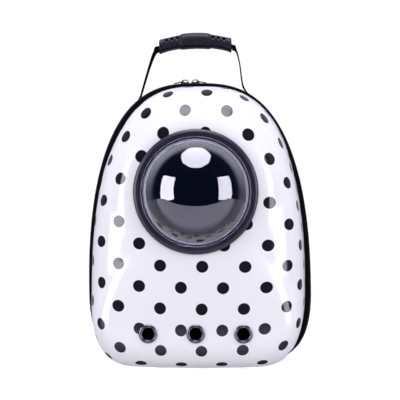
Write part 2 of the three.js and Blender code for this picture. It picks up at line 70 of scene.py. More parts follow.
# Where the print stops under the window ring, as two near climbs
LAND_BLANK = (1.34, 1.35)
LAND_Y = SHELL.rim_y - SHELL.depth + WINDOW.land_recess
DOME = Table(radius=76, height=60, wall=2, flange_radius=80.5, foot=2.3)
# Sections as radius and height above the land: the clear fillet at the dome's foot, and the ring, up its
# outer side, over the crown, down a fine step to the lip that holds the dome, and back under it
DOME_FILLET = [(76.6, 2.3), (76.6, 4.6), (76.2, 4.75), (75.8, 5.1), (75.5, 5.7), (75.2, 6.6), (74.9, 7.5)]
BEZEL = [(80.8, 0.3), (86.2, 0.3), (86.8, 0.8), (87, 1.6), (86.95, 2.7), (86.5, 4), (85.7, 5.1), (84.6, 6),
         (83.2, 6.5), (81.9, 6.75), (81.2, 6.8), (80.9, 6.7), (80.7, 6.4), (80.5, 6.25), (80.1, 6.2),
         (79.4, 6.2), (78.5, 6.1), (77.7, 5.8), (77.1, 5.3), (76.8, 4.7), (76.8, 2.6), (80.8, 2.6)]
VENT = Table(pitch=66, z=50, hole_radius=8.6, barrel_radius=10, flange_radius=13.1, proud=2.2, lift=0.55,
             back=1.4)
VENT_PLACES = dict(left=-VENT.pitch, centre=0, right=VENT.pitch)

# Zip and soft back: cloth stations from front to back give y, and the inset from the bag's outline

ZIP = Table(chain_y=24.3, chain_width=7, start_turn=0.12, hinge_turn=0.119, tape_wall=1.5)
# One coil along the zip: share of its half length, half width, half height and rise
COIL = [(-1, 0.25, 0.2, -0.1), (-0.6, 1.55, 0.42, 0.12), (0, 1.75, 0.5, 0.16), (0.6, 1.55, 0.42, 0.12),
        (1, 0.25, 0.2, -0.1)]
# The two rows of coils: the way across the chain, and the shift in pitches
COIL_ROWS = [(1.85, 0.0), (5.15, 0.5)]
TAPE_FRONT = [(10.3, 7.2), (11, 4.6), (12, 2.8), (14, 1.1), (17, 0), (20.5, 0), (24, 0)]
TAPE_REAR = [(31.6, 0), (35.6, 0), (39.8, 0), (44, 0)]
GUSSET = [(44.3, 0), (52, 0.2), (61, 0.6), (70, 1), (80, 1.8), (90, 3), (98, 4)]
GUSSET_WALL = 3
BACK_PAD = [(98.3, 60), (98.3, 30), (98.3, 4), (100, 3.5), (102, 3.4), (104.2, 4.3), (106, 6), (107.8, 9.6),
            (109, 14), (110.6, 24), (111.8, 36), (112.6, 48), (113, 60), (113, 80)]
BACK_MIDDLE_Z = 205.0
# The back pad's cloth is sewn down in front of this y
BACK_HELD_Y = 105.0
# Seams round the bag: y, inset and share of the lean
ZIP_SEAMS = [(15.5, 0.45, 0.32), (18.2, 0, 0.6), (41.6, 0, 1.0)]
GUSSET_SEAMS = [(47.5, 0.1, 1.0), (94.6, 3.6, 1.0)]

# The carrying handle's half line: along the crown as x and lift, rising as x and z, and as x in the grip's
# bore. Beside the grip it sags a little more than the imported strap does.

HANDLE = Table(y=60, width=25, thick=1.6, grip_half=53.5, crown_z=472.5, drop=8.2, foot_shift=-6.6,
               grip_shift=-2.2, tilt=0.02, ease=10, seam_half=9.0, seam_proud=0.05)
HANDLE_TAIL = [(112, 0), (96, 0), (83, 0.1), (77, 2.6)]
HANDLE_RISE = [(74.2, 404), (66, 440), (61.2, 454.6), (57.2, 460.4)]
HANDLE_BORE = (51, 28)
# How far the strap turns about its own line, in degrees, by the share of its length from the right end
HANDLE_TWIST = [(0.15, 0), (0.2, 3), (0.25, 1), (0.3, 2), (0.335, 8), (0.35, 17), (0.375, 7), (0.42, 0),
                (0.58, 0), (0.62, 6), (0.642, 18), (0.66, 15), (0.68, 8), (0.72, 5), (0.77, 1.5), (0.82, 0)]
# The grip's half section: x, half height, half depth
GRIP = [(0, 11.8, 17), (10, 11.8, 17), (19.6, 11.7, 16.9), (20.8, 11.3, 16.6), (22.4, 10.5, 16.1),
        (24, 10.1, 16), (40, 9.9, 15.8), (50.5, 10.4, 16.2), (53.5, 10.9, 16.6)]
GRIP_BORE = Table(tall=2.3, deep=14.4)
GRIP_END = Table(rounding=1.2, shrink=1.1, rows_from=1.4)
# Finger slots: where they lie along the grip, and their middle and reach as shares of its half height
GRIP_SLOT = Table(at=(26.6, 34.4, 42.6), half=2.3, middle=0.52, reach=0.31, depth=3.2, floor=0.78)
SLOT_ROWS = (-2.4, -2, -1.7, -1.4, -0.7, 0, 0.7, 1.4, 1.7, 2, 2.4)

# Shoulder straps, buckles and webbing

SHOULDER = Table(width=62, thick=10, end_width=40, narrow_from=0.55, seam_inset=6, seam_lift=4.9, held=1.6,
                 held_reach=30)
SHOULDER_LINE = [(45, 113.6, 356), (46, 125, 359), (49, 138, 350), (55, 146, 326), (63, 151, 290),
                 (71, 151, 250), (79, 147, 212), (86, 140, 178)]
WEBBING = Table(width=25, thick=1.6)
# The webbing's turn round the buckle: down from the buckle's top edge, and out from its middle
WEBBING_TURN = [(64, 5), (30, 3.7), (24, 3.6), (20.7, 2.8), (19.4, 0), (20.7, -2.8), (24, -3.6), (30, -3.7)]
WEBBING_FOOT = [(107, 123, 96), (118, 114.5, 60), (125, 112, 36)]

# How the printed cloth stretched over the mould: the share of hidden length that it lost and gained, in
# millimetres, and its bend as powers of the way across and up, shift right and shift up

PRINT = Table(slip=0.6, slip_reach=30, gather=24, gather_reach=4, half=150, half_up=200, blank=(-8.3, 21.8),
              edge=0.25)
PRINT_BEND = [(2, 0, -3.5, -1.9), (1, 1, -2.2, -0.3), (0, 2, -1.9, -7.5), (3, 0, -4.2, -0.1),
              (2, 1, -1.8, 9.6), (1, 2, 6.4, -4.3), (0, 3, 0.4, -4.8)]

# The studio, in metres apart from the camera's place: each box light's name, place, aim, size and power, how
# bright its card is in reflections, and the card's corners; and each fill light's name, place and power

CAMERA = Table(place=(87.6, -2588.6, 235.5), turn=1.9, lens=160.2)
LIGHT_BOXES = [("overhead", (0, -0.44, 1.45), (0, -0.1, 0.2), (1.05, 1.2), 6, 9.2, 8),
               ("left_panel", (-1.045, -0.735, 0.39), (0, -0.1, 0.39), (0.67, 0.94), 4.5, 10.5, 4),
               ("right_panel", (1.1, -0.665, 0.39), (0, -0.1, 0.39), (0.66, 0.94), 4.5, 9.0, 4)]
FILLS = [("front_fill", (0.2, -2.6, 1.3), 18), ("back_fill", (0.0, 2.2, 1.4), 8)]
FILL_AIM, FILL_SIZE = (0, 0, 0.2), (1.6, 1.2)
FLOOR = Table(half_width=1.3, front=-0.58, back=1.2, z=-0.0004)
# Linear colours of its light
GLOW = dict(card=(0.89, 0.87, 1, 1), table=(0.97, 0.96, 1, 1), mirrored_table=(0.81, 0.77, 1, 1),
            room=(0.02, 0.03, 0.1, 1), backdrop=(0.89, 0.86, 1, 1), soft=(0.93, 0.92, 1, 1),
            white=(1, 1, 1, 1))

# Thread spacings of the tape's twill and the lining, drawn coarse so that they show
TAPE_THREAD, LINING_THREAD = 1.2, 1.2


def linear(code):
    """An sRGB hex colour as linear red, green, blue and alpha."""
    parts = [int(code[i:i + 2], 16) / 255 for i in (1, 3, 5)]
    return tuple(c / 12.92 if c <= 0.04045 else ((c + 0.055) / 1.055) ** 2.4 for c in parts) + (1.0,)


def length_property(name, description, size):
    return FloatProperty(name=name, description=description, default=size * MM, unit="LENGTH", precision=5)


def colour_property(name, description, code):
    return FloatVectorProperty(name=name, description=description, default=linear(code), size=4,
                               subtype="COLOR", min=0, max=1)


class BackpackSizes(bpy.types.PropertyGroup):
    """Sizes of the print, the sewing and the weaves."""
    dot_radius: length_property("Dot radius", "Radius of a printed dot", 8.5)
    dot_across: length_property("Dots across", "Distance between dots in a row", 59.04)
    dot_down: length_property("Dots down", "Distance between rows of one lattice", 60.36)
    print_right: length_property("Print right", "Where a dot lies across, on the unfolded front", 6.47)
    print_up: length_property("Print up", "Where that dot lies above the base", 21.76)
    print_tilt: FloatProperty(name="Print tilt", description="Turn of the print on the shell",
                              default=math.radians(1.13), unit="ROTATION")
    stitch_pitch: length_property("Stitch pitch", "Distance from stitch to stitch", 3.6)
    stitch_length: length_property("Stitch length", "Length of thread that shows", 2.7)
    thread_radius: length_property("Thread radius", "Radius of the sewing thread", 0.42)
    coil_pitch: length_property("Coil pitch", "Distance between the zip's coils on one side", 1.7)
    oxford_thread: length_property("Cloth thread", "Thread spacing of the back's cloth, drawn coarse", 1.5)
    webbing_rib: length_property("Webbing rib", "Rib spacing of the webbing, drawn coarse", 2.1)
    mesh_cell: length_property("Mesh cell", "Cell spacing of the back pad's spacer mesh", 4.0)


class BackpackColours(bpy.types.PropertyGroup):
    """Colours of the finishes."""
    shell: colour_property("Shell", "Coated cloth of the moulded front", "#F1F0F7")
    dots: colour_property("Dots", "Printed dots", "#17161C")
    lining: colour_property("Lining", "Cloth inside the shell", "#121116")
    window: colour_property("Window", "Clear dome", "#F2F4FA")
    moulding: colour_property("Moulding", "Window ring and strap buckles", "#1B1928")
    nickel: colour_property("Nickel", "Vent eyelets", "#6A6870")
    tape: colour_property("Tape", "Zip tape, webbing and hinge", "#0E0D11")
    cloth: colour_property("Cloth", "Gusset, back pad and shoulder straps", "#1A191E")
    coil: colour_property("Coil", "Zip coils", "#1C1B20")
    enamel: colour_property("Enamel", "Zip sliders and pulls", "#17171B")
    rubber: colour_property("Rubber", "Carrying grip", "#11101B")
    thread: colour_property("Thread", "Sewing thread", "#232228")


# Small helpers

def mix(start, end, share):
    return start + (end - start) * share


def smooth(value, low, high):
    share = np.clip((np.asarray(value, float) - low) / (high - low), 0, 1)
    return share * share * (3 - 2 * share)


def unit(vectors):
    vectors = np.asarray(vectors, float)
    return vectors / np.linalg.norm(vectors, axis=-1, keepdims=True)


def turns(count):
    return np.arange(count) / count


def squared_ring(count, power):
    """Cosine and sine round a ring, bent by a power towards a rounded rectangle's."""
    ring = turns(count) * math.tau
    return [np.sign(wave) * np.abs(wave) ** power for wave in (np.cos(ring), np.sin(ring))]


def curve_through(points, per_span):
    """Points and tangents of a centripetal curve through the given points."""
    points = np.asarray(points, float)
    ends = [2 * points[0] - points[1], *points, 2 * points[-1] - points[-2]]
    places, tangents = [], []
    for i in range(len(points) - 1):
        p0, p1, p2, p3 = ends[i:i + 4]
        d0, d1, d2 = [max(np.linalg.norm(b - a) ** 0.5, 1e-4) for a, b in ((p0, p1), (p1, p2), (p2, p3))]
        out = ((p1 - p0) / d0 - (p2 - p0) / (d0 + d1) + (p2 - p1) / d1) * d1
        come = ((p2 - p1) / d1 - (p3 - p1) / (d1 + d2) + (p3 - p2) / d2) * d1
        for t in turns(per_span) if i < len(points) - 2 else np.linspace(0, 1, per_span + 1):
            c2, c3 = -3 * p1 + 3 * p2 - 2 * out - come, 2 * p1 - 2 * p2 + out + come
            places.append(p1 + out * t + c2 * t * t + c3 * t ** 3)
            tangents.append(out + 2 * c2 * t + 3 * c3 * t * t)
    return np.array(places), unit(tangents)


def refined(rows, per_span):
    """A table's rows of two values with smooth rows in between, through all of them."""
    return curve_through(np.column_stack([rows, np.zeros(len(rows))]), per_span)[0][:, :2]


def new_object(name, mesh, *materials):
    for material in materials:
        mesh.materials.append(material)
    piece = bpy.data.objects.new(name, mesh)
    bpy.context.scene.collection.objects.link(piece)
    return piece


def loft(name, loops, *materials, ring=False, row_material=None, uv=None, sharp=40):
    """A closed solid skinned over loops of points in millimetres. A ring joins its last loop to its first,
    and a bar gets end caps. Its UV map runs along and across the surface in metres, unless uv gives one for
    each point."""
    loops = np.asarray(loops, float)
    rows, across = loops.shape[:2]
    spans = rows if ring else rows - 1
    row, column = np.meshgrid(np.arange(spans), np.arange(across), indexing="ij")
    corners = [(row, column), (row, column + 1), (row + 1, column + 1), (row + 1, column)]
    quads = np.stack([(r % rows) * across + c % across for r, c in corners], -1).reshape(-1, 4)
    if uv is None:
        ahead = np.linalg.norm(np.roll(loops, -1, 0) - loops, axis=2).mean(1)
        aside = np.linalg.norm(np.roll(loops, -1, 1) - loops, axis=2).mean(0)
        along, width = np.r_[0, np.cumsum(ahead)], np.r_[0, np.cumsum(aside)]
        uvs = np.stack([np.stack([width[c], along[r]], -1) for r, c in corners], 2)
    else:
        uvs = np.stack([uv[r % rows, c % across] for r, c in corners], 2)
    uvs = uvs.reshape(-1, 4, 2)
    first, last = list(range(across)), list(range((rows - 1) * across, rows * across))
    caps = [first[::-1], last]
    a, b, c, d = (loops.reshape(-1, 3)[quads[:, i]] for i in range(4))
    if np.einsum("ij,ij->", a, np.cross(b, c) + np.cross(c, d)) < 0:
        quads, uvs = quads[:, ::-1], uvs[:, ::-1]
        caps = [first, last[::-1]]
    faces = quads.tolist() + ([] if ring else caps)
    mesh = bpy.data.meshes.new(name)
    mesh.from_pydata((loops.reshape(-1, 3) * MM).tolist(), [], faces)
    flat = np.zeros((len(mesh.loops), 2))
    flat[:len(uvs) * 4] = uvs.reshape(-1, 2) * MM
    mesh.uv_layers.new(name="Cloth").data.foreach_set("uv", flat.ravel())
    if row_material is not None:
        index = np.zeros(len(mesh.polygons), int)
        index[:spans * across] = np.repeat(row_material, across)
        mesh.polygons.foreach_set("material_index", index)
    shade(mesh, sharp)
    return new_object(name, mesh, *materials)


def shade(mesh, sharp):
    mesh.polygons.foreach_set("use_smooth", np.ones(len(mesh.polygons), bool))
    mesh.set_sharp_from_angle(angle=math.radians(sharp))
    mesh.update()


def as_plain_mesh(piece):
    """The piece with its modifiers made part of its mesh."""
    depsgraph = bpy.context.evaluated_depsgraph_get()
    mesh = bpy.data.meshes.new_from_object(piece.evaluated_get(depsgraph), depsgraph=depsgraph)
    piece.modifiers.clear()
    piece.data = mesh
    return piece


def drop_object(piece):
    mesh = piece.data
    bpy.data.objects.remove(piece)
    bpy.data.meshes.remove(mesh)


def merge_points(piece, distance):
    shape = bmesh.new()
    shape.from_mesh(piece.data)
    bmesh.ops.remove_doubles(shape, verts=shape.verts, dist=distance)
    shape.to_mesh(piece.data)
    shape.free()


def carried(piece, body="carrier"):
    """The piece moves with a body."""
    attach(piece, body)
    return piece


def settle(piece, node, body="carrier"):
    """The piece stands for its node and moves with its body."""
    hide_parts(node)
    return carried(piece, body)


# The bag's outline and shell

def outline(turn, half, top, base=0.0):
    """Points of the outline, from the middle of the base round by the right and the crown."""
    turn = np.mod(turn, 1.0)
    right = turn <= 0.5
    along = np.where(right, 2 * turn, 2 - 2 * turn)
    base_end, corner_end = OUTLINE_SHARE.base, OUTLINE_SHARE.corner
    lower = along <= corner_end
    share = np.where(lower, (along - base_end) / (corner_end - base_end),
                     (along - corner_end) / (1 - corner_end))
    c = np.clip(np.cos(share * np.pi / 2), 0, 1)
    s = np.clip(np.sin(share * np.pi / 2), 0, 1)
    curl = BAG.corner_curl
    corner = mix(BAG.flat_half, half, s ** curl), mix(BAG.widest_z, base, c ** curl)
    crown = half * c ** BAG.crown_curl_x, mix(BAG.widest_z, top, s ** BAG.crown_curl_z)
    flat = along <= base_end
    x = np.where(flat, BAG.flat_half * along / base_end, np.where(lower, corner[0], crown[0]))
    z = np.where(flat, base, np.where(lower, corner[1], crown[1]))
    return np.where(right, x, -x), z


def inset_outline(turn, inset, base=0.0):
    return outline(turn, BAG.half - inset, BAG.top - inset, base)


def outline_normal(turn):
    """The outline's outward direction, seen from the front."""
    step = 1e-3
    ahead, behind = (np.stack(inset_outline(turn + side * step, 0), -1) for side in (1, -1))
    along = unit(ahead - behind)
    return np.stack([along[..., 1], -along[..., 0]], -1)


def leaned(points, share=1.0):
    """The soft back's lean against the moulded front."""
    points = np.array(points, float)
    points[..., 0] -= share * LEAN.slope * (points[..., 2] - LEAN.about_z)
    return points


def crown_at(x):
    """Height and slope of the outline's crown at x."""
    def height(at):
        c = (abs(at) / BAG.half) ** (1 / BAG.crown_curl_x)
        return mix(BAG.widest_z, BAG.top, math.sqrt(1 - c * c) ** BAG.crown_curl_z)
    return height(x), height(x + 0.5) - height(x - 0.5)


def shell_point(turn, climb, wall=0.0):
    """Points of the shell. climb runs from 0 at the rim to 1 at the flat land round the window and 2 at its
    hole."""
    x, z = outline(turn, BAG.half - SHELL.side_inset - wall, BAG.top - SHELL.top_inset - wall, wall)
    z = z - WINDOW.z
    length = np.hypot(x, z)
    rise = z / length
    power = np.where(rise > 0, mix(SHELL.side_power, SHELL.top_power, rise * rise),
                     mix(SHELL.side_power, SHELL.base_power, smooth(-rise, *SHELL.base_turn)))
    draft = SHELL.draft * np.where(rise > 0, 1, 1 - rise ** 4)
    land = WINDOW.land_radius / (length * (1 - draft))
    angle = np.minimum(climb, 1) * np.arctan2((1 - land ** power) ** (1 / power), land)
    c, s = np.cos(angle), np.sin(angle)
    size = (c ** power + s ** power) ** (-1 / power)
    depth = size * s
    radius = np.where(climb < 1, size * c * (1 - draft * depth) * length,
                      mix(WINDOW.land_radius, WINDOW.hole_radius, climb - 1))
    fade = smooth(radius, WINDOW.land_radius, WINDOW.land_radius + WINDOW.land_fade)
    full = SHELL.depth - wall
    y = SHELL.rim_y - mix(full - WINDOW.land_recess, full * depth, fade)
    lift = np.maximum(wall, WINDOW.z + z * radius / length - SHELL.press)
    shift = SHELL.crown_shift * smooth(lift, *SHELL.crown_from) * (1 - depth ** 2)
    return np.stack([x * radius / length + shift, y, lift], -1)


def shell_seat(x, z):
    """The place and normal of the shell's outer surface at x and z, seen from the front."""
    turn, climb, reach = 0.0, 0.8, 0.25
    steps = np.array([(a, b) for a in (-1, 0, 1) for b in (-1, 0, 1)])
    while reach > 1e-6:
        near_turn, near_climb = turn + reach * steps[:, 0], np.clip(climb + reach * steps[:, 1], 0.5, 1)
        near = shell_point(near_turn, near_climb)
        best = np.argmin(np.hypot(near[:, 0] - x, near[:, 2] - z))
        turn, climb = near_turn[best], near_climb[best]
        reach /= 1.4
    step = 1e-3
    place = shell_point(turn, climb)
    normal = unit(np.cross(shell_point(turn + step, climb) - place, shell_point(turn, climb - step) - place))
    return place, -normal if normal[1] > 0 else normal


def print_map(points, turn):
    """Where each point of the shell lies on the flat printed cloth: the length that the section hides in
    depth is laid out along the outline's normal, less where the cloth stretched and more where the base
    gathers it."""
    radius = np.hypot(points[..., 0], points[..., 2] - WINDOW.z)
    step = np.linalg.norm(np.diff(points, axis=0), axis=2)
    arc = np.concatenate([np.cumsum(step[::-1], axis=0)[::-1], np.zeros((1, points.shape[1]))])
    hidden = np.maximum(arc - (radius - radius[-1:]), 0)
    low = np.clip(1 - points[..., 2] / WINDOW.z, 0, 1)
    laid = hidden - PRINT.slip * PRINT.slip_reach * (1 - np.exp(-hidden / PRINT.slip_reach))
    laid += low ** 2 * PRINT.gather * (1 - np.exp(-hidden / PRINT.gather_reach))
    flat = points[..., [0, 2]] + laid[..., None] * outline_normal(turn)[None]
    right, up = points[..., 0] / PRINT.half, (points[..., 2] - PRINT.half_up) / PRINT.half_up
    for right_power, up_power, *shift in PRINT_BEND:
        flat += (right ** right_power * up ** up_power)[..., None] * np.array(shift)
    return flat


# Node trees and finishes

def add_node(tree, kind, inputs=None, output=0, **settings):
    """Adds a node, sets its properties, fills or links its inputs, and gives the output asked for, or all of
    them for None."""
    node = tree.nodes.new(kind)
    for name, value in settings.items():
        setattr(node, name, value)
    for name, value in (inputs or {}).items():
        if isinstance(value, bpy.types.NodeSocket):
            tree.links.new(value, node.inputs[name])
        else:
            node.inputs[name].default_value = value
    return node.outputs if output is None else node.outputs[output]


def shader_nodes(tree):
    """Empties a shader's tree, and gives what adds nodes to it by their short names."""
    tree.nodes.clear()
    return lambda kind, *inputs, **settings: add_node(tree, f"ShaderNode{kind}", *inputs, **settings)


def finish(build, name=None):
    """The material with the name given or else build's, made once. Its shader comes from build(node, sizes,
    colours), where node adds a shader node."""
    name = name or build.__name__
    material = bpy.data.materials.get(name)
    if material is None:
        material = bpy.data.materials.new(name)
        material.use_nodes = True
        node = shader_nodes(material.node_tree)
        scene = bpy.context.scene
        shader = build(node, scene.backpack_sizes, scene.backpack_colours)
        node("OutputMaterial", {"Surface": shader}, None)
        material.diffuse_color = (0.2, 0.2, 0.2, 1)
    return material


def darker(colour, share):
    return tuple(c * share for c in colour[:3]) + (1.0,)


def per_metre(size):
    """The scale of a pattern whose features have a size in millimetres."""
    return 1 / (size * MM)


def polyurethane_coated_cloth(node, sizes, colours):
    """Cloth with a glossy polyurethane coat, heat-moulded: white with black dots, a fine soft grain in its
    shine, and less shine where it turns away."""
    uv = node("UVMap", uv_map="Cloth")
    pitch = (sizes.dot_across, sizes.dot_down, 1)
    lattice = node("Mapping", {
        "Vector": uv, "Location": (sizes.print_right, sizes.print_up, 0),
        "Rotation": (0, 0, -sizes.print_tilt), "Scale": pitch}, vector_type="TEXTURE")
    reaches = []
    for shift in (0.5, 0.0):
        moved = node("VectorMath", {0: lattice, 1: (shift, shift, 0)})
        cell = node("VectorMath", {0: moved}, operation="FRACTION")
        middle = node("VectorMath", {0: cell, 1: (0.5, 0.5, 0)}, operation="SUBTRACT")
        spread = node("VectorMath", {0: middle, 1: pitch}, operation="MULTIPLY")
        reaches.append(node("VectorMath", {0: spread}, "Value", operation="LENGTH"))
    reach = node("Math", {0: reaches[0], 1: reaches[1]}, operation="MINIMUM")
    edge = PRINT.edge * MM
    dot = node("MapRange", {
        "Value": reach, "From Min": sizes.dot_radius - edge, "From Max": sizes.dot_radius + edge,
        "To Min": 1.0, "To Max": 0.0}, interpolation_type="SMOOTHSTEP")
    place = node("TexCoord", output="Object")
    cloud, ripple, grain = (
        node("TexNoise", {"Vector": place, "Scale": per_metre(size), "Detail": detail})
        for size, detail in ((71.4, 2.0), (22.2, 1.0), (1.43, 3.0)))
    white = node("Mix", {
        "Factor": cloud, "A": darker(colours.shell, 0.97), "B": colours.shell}, "Result", data_type="RGBA")
    colour = node("Mix", {"Factor": dot, "A": white, "B": colours.dots}, "Result", data_type="RGBA")
    rough = node("MapRange", {"Value": grain, "To Min": 0.1, "To Max": 0.2})
    height = node("Math", {0: ripple, 1: 3.0, 2: grain}, operation="MULTIPLY_ADD")
    bump = node("Bump", {"Height": height, "Strength": 0.06, "Distance": 1.2 * MM})
    facing = node("LayerWeight", {"Blend": 0.5}, "Facing")
    gloss = node("MapRange", {
        "Value": facing, "From Min": 0.27, "From Max": 0.45, "To Min": 0.45, "To Max": 0.04})
    return node("BsdfPrincipled", {
        "Base Color": colour, "Roughness": rough, "Specular IOR Level": gloss, "Normal": bump})


def clear_polycarbonate(node, sizes, colours):
    """Blown polycarbonate: clear and hard, with mirror reflections and a faint haze from handling."""
    place = node("TexCoord", output="Object")
    haze = node("TexNoise", {"Vector": place, "Scale": per_metre(33.3), "Detail": 4.0})
    rough = node("MapRange", {
        "Value": haze, "From Min": 0.45, "From Max": 0.75, "To Min": 0.0, "To Max": 0.05})
    return node("BsdfPrincipled", {
        "Base Color": colours.window, "Roughness": rough, "IOR": 1.58, "Transmission Weight": 1.0})


def mottled(node, colour, tones, size, detail, shine, rough=None, worn=(0.0, 1.0), relief=None):
    """A finish whose tone runs between two shares of its colour over a noise of a size in millimetres, or of
    a size along each axis. worn is the part of the noise that changes the tone, rough the roughness that goes
    with it, shine the shader's plain sockets, and relief a fine texture's size and strength."""
    place = node("TexCoord", output="Object")
    scaled = node("Mapping", {
        "Vector": place, "Scale": [per_metre(side) for side in np.broadcast_to(size, 3)]})
    noise = node("TexNoise", {"Vector": scaled, "Scale": 1.0, "Detail": detail})
    share = node("MapRange", {"Value": noise, "From Min": worn[0], "From Max": worn[1]})
    sockets = dict(shine)
    sockets["Base Color"] = node("Mix", {
        "Factor": share, "A": darker(colour, tones[0]), "B": darker(colour, tones[1])}, "Result",
        data_type="RGBA")
    if rough:
        sockets["Roughness"] = node("MapRange", {"Value": noise, "To Min": rough[0], "To Max": rough[1]})
    if relief:
        texture = node("TexNoise", {"Vector": place, "Scale": per_metre(relief[0]), "Detail": 2.0})
        sockets["Normal"] = node("Bump", {"Height": texture, "Strength": relief[1], "Distance": 0.4 * MM})
    return node("BsdfPrincipled", sockets)


def satin_abs(node, sizes, colours):
    """Injection-moulded ABS with a fine spark-eroded texture: a broad satin shine, a little paler on wear."""
    return mottled(node, colours.moulding, (0.85, 1.15), 16.7, 3.0, {"Specular IOR Level": 0.4},
                   rough=(0.3, 0.42), relief=(0.714, 0.12))


def dark_nickel(node, sizes, colours):
    """Nickel-plated steel, pressed and rolled: grey metal, its shine drawn round by fine rubbing marks."""
    return mottled(node, colours.nickel, (0.8, 1.15), (2.5, 2.5, 0.385), 3.0, {"Metallic": 1.0},
                   rough=(0.12, 0.22))


def black_enamel(node, sizes, colours):
    """Die-cast zinc with stoved black enamel: glossy, rubbed a little paler where hands touch it."""
    return mottled(node, colours.enamel, (1.0, 3.0), 2.0, 4.0, {"Specular IOR Level": 0.15},
                   rough=(0.18, 0.35), worn=(0.55, 0.8))


def thermoplastic_rubber(node, sizes, colours):
    """Thermoplastic rubber moulded on the webbing: soft satin with a fine eroded texture, dusty in places."""
    return mottled(node, colours.rubber, (0.8, 1.2), 11.1, 3.0, {"Specular IOR Level": 0.22},
                   rough=(0.36, 0.5), relief=(0.667, 0.15))


def nylon_coil(node, sizes, colours):
    """Nylon monofilament wound into zip coils: smooth black with a tight bright shine on each turn."""
    return mottled(node, colours.coil, (0.7, 1.5), 3.33, 2.0, {"IOR": 1.53}, rough=(0.25, 0.4))


def polyester_thread(node, sizes, colours):
    """Bonded polyester sewing thread: dark, twisted, with a low sheen."""
    return mottled(node, colours.thread, (0.7, 1.6), 0.455, 1.0, {"IOR": 1.5, "Roughness": 0.55})


def woven(node, colour, thread, lean, roughness, depth=0.4, sheen=0.03, gloss=0.12):
    """Cloth threads over the piece's UV map: lean 0 gives a plain weave, and more a twill's slanting ribs."""
    uv = node("UVMap", uv_map="Cloth")
    waves = node("Mapping", {"Vector": uv, "Scale": (math.tau / thread, math.tau / thread, 1)})
    axes = node("SeparateXYZ", {"Vector": waves}, None)
    slant = node("Math", {0: axes[0], 1: lean, 2: axes[1]}, operation="MULTIPLY_ADD")
    relief = node("Math", {0: slant}, operation="SINE")
    if lean == 0:
        warp = node("Math", {0: axes[0]}, operation="SINE")
        relief = node("Math", {0: warp, 1: relief}, operation="MULTIPLY")
    place = node("TexCoord", output="Object")
    slub = node("TexNoise", {"Vector": place, "Scale": per_metre(6.25), "Detail": 4.0})
    # Painted shade: the colour runs darker where the threads dip and paler on their crests, with a random
    # slub tone on top
    height = node("Math", {0: slub, 1: 0.8, 2: relief}, operation="MULTIPLY_ADD")
    share = node("MapRange", {"Value": height, "From Min": -0.8, "From Max": 1.6})
    colour_with_painted_shade = node("Mix", {
        "Factor": share, "A": darker(colour, 0.6), "B": darker(colour, 1.6)}, "Result", data_type="RGBA")
    bump = node("Bump", {"Height": height, "Strength": 0.5, "Distance": depth * MM})
    return node("BsdfPrincipled", {
        "Base Color": colour_with_painted_shade, "Roughness": roughness, "Specular IOR Level": gloss, "Normal": bump,
        "Sheen Weight": sheen, "Sheen Roughness": 0.5})


def polyester_tape(node, sizes, colours):
    """Woven polyester zip tape: dense fine twill with a low dry sheen."""
    return woven(node, colours.tape, TAPE_THREAD * MM, 1.0, 0.62, sheen=0.01, gloss=0.0)


def oxford_cloth(node, sizes, colours):
    """Plain-woven oxford polyester: a square grid of plump threads, matt with a soft sheen."""
    return woven(node, colours.cloth, 2 * sizes.oxford_thread, 0.0, 0.7)


def lining_cloth(node, sizes, colours):
    """Dark plain-woven lining glued inside the moulded shell: matt, with a faint square weave."""
    return woven(node, colours.lining, 2 * LINING_THREAD * MM, 0.0, 0.85, sheen=0.0)


def polypropylene_webbing(node, sizes, colours):
    """Woven polypropylene webbing: slanting ribs across its width and a dry, dull face."""
    return woven(node, colours.tape, sizes.webbing_rib, 0.55, 0.5, depth=0.6, sheen=0.01, gloss=0.0)


def spacer_mesh(node, sizes, colours):
    """Knitted spacer mesh over foam: a net of threads with a pit in each cell, darkened by painted shade."""
    place = node("TexCoord", output="Object")
    cells = node("TexVoronoi", {
        "Vector": place, "Scale": 1 / sizes.mesh_cell, "Randomness": 0.25}, "Distance", feature="SMOOTH_F1")
    pit = node("MapRange", {
        "Value": cells, "From Min": 0.2, "From Max": 0.42}, interpolation_type="SMOOTHSTEP")
    yarn = node("TexNoise", {"Vector": place, "Scale": per_metre(1.11), "Detail": 2.0})
    # Painted shade: each cell's pit is drawn darker where the bump lies lowest
    colour_with_painted_shade = node("Mix", {
        "Factor": pit, "A": darker(colours.cloth, 0.35), "B": darker(colours.cloth, 1.7)}, "Result",
        data_type="RGBA")
    height = node("Math", {0: yarn, 1: 0.3, 2: pit}, operation="MULTIPLY_ADD")
    bump = node("Bump", {"Height": height, "Strength": 0.7, "Distance": 0.9 * MM})
    return node("BsdfPrincipled", {
        "Base Color": colour_with_painted_shade, "Roughness": 0.75, "Specular IOR Level": 0.12, "Normal": bump,
        "Sheen Weight": 0.04, "Sheen Roughness": 0.5})


# Repeats along a path

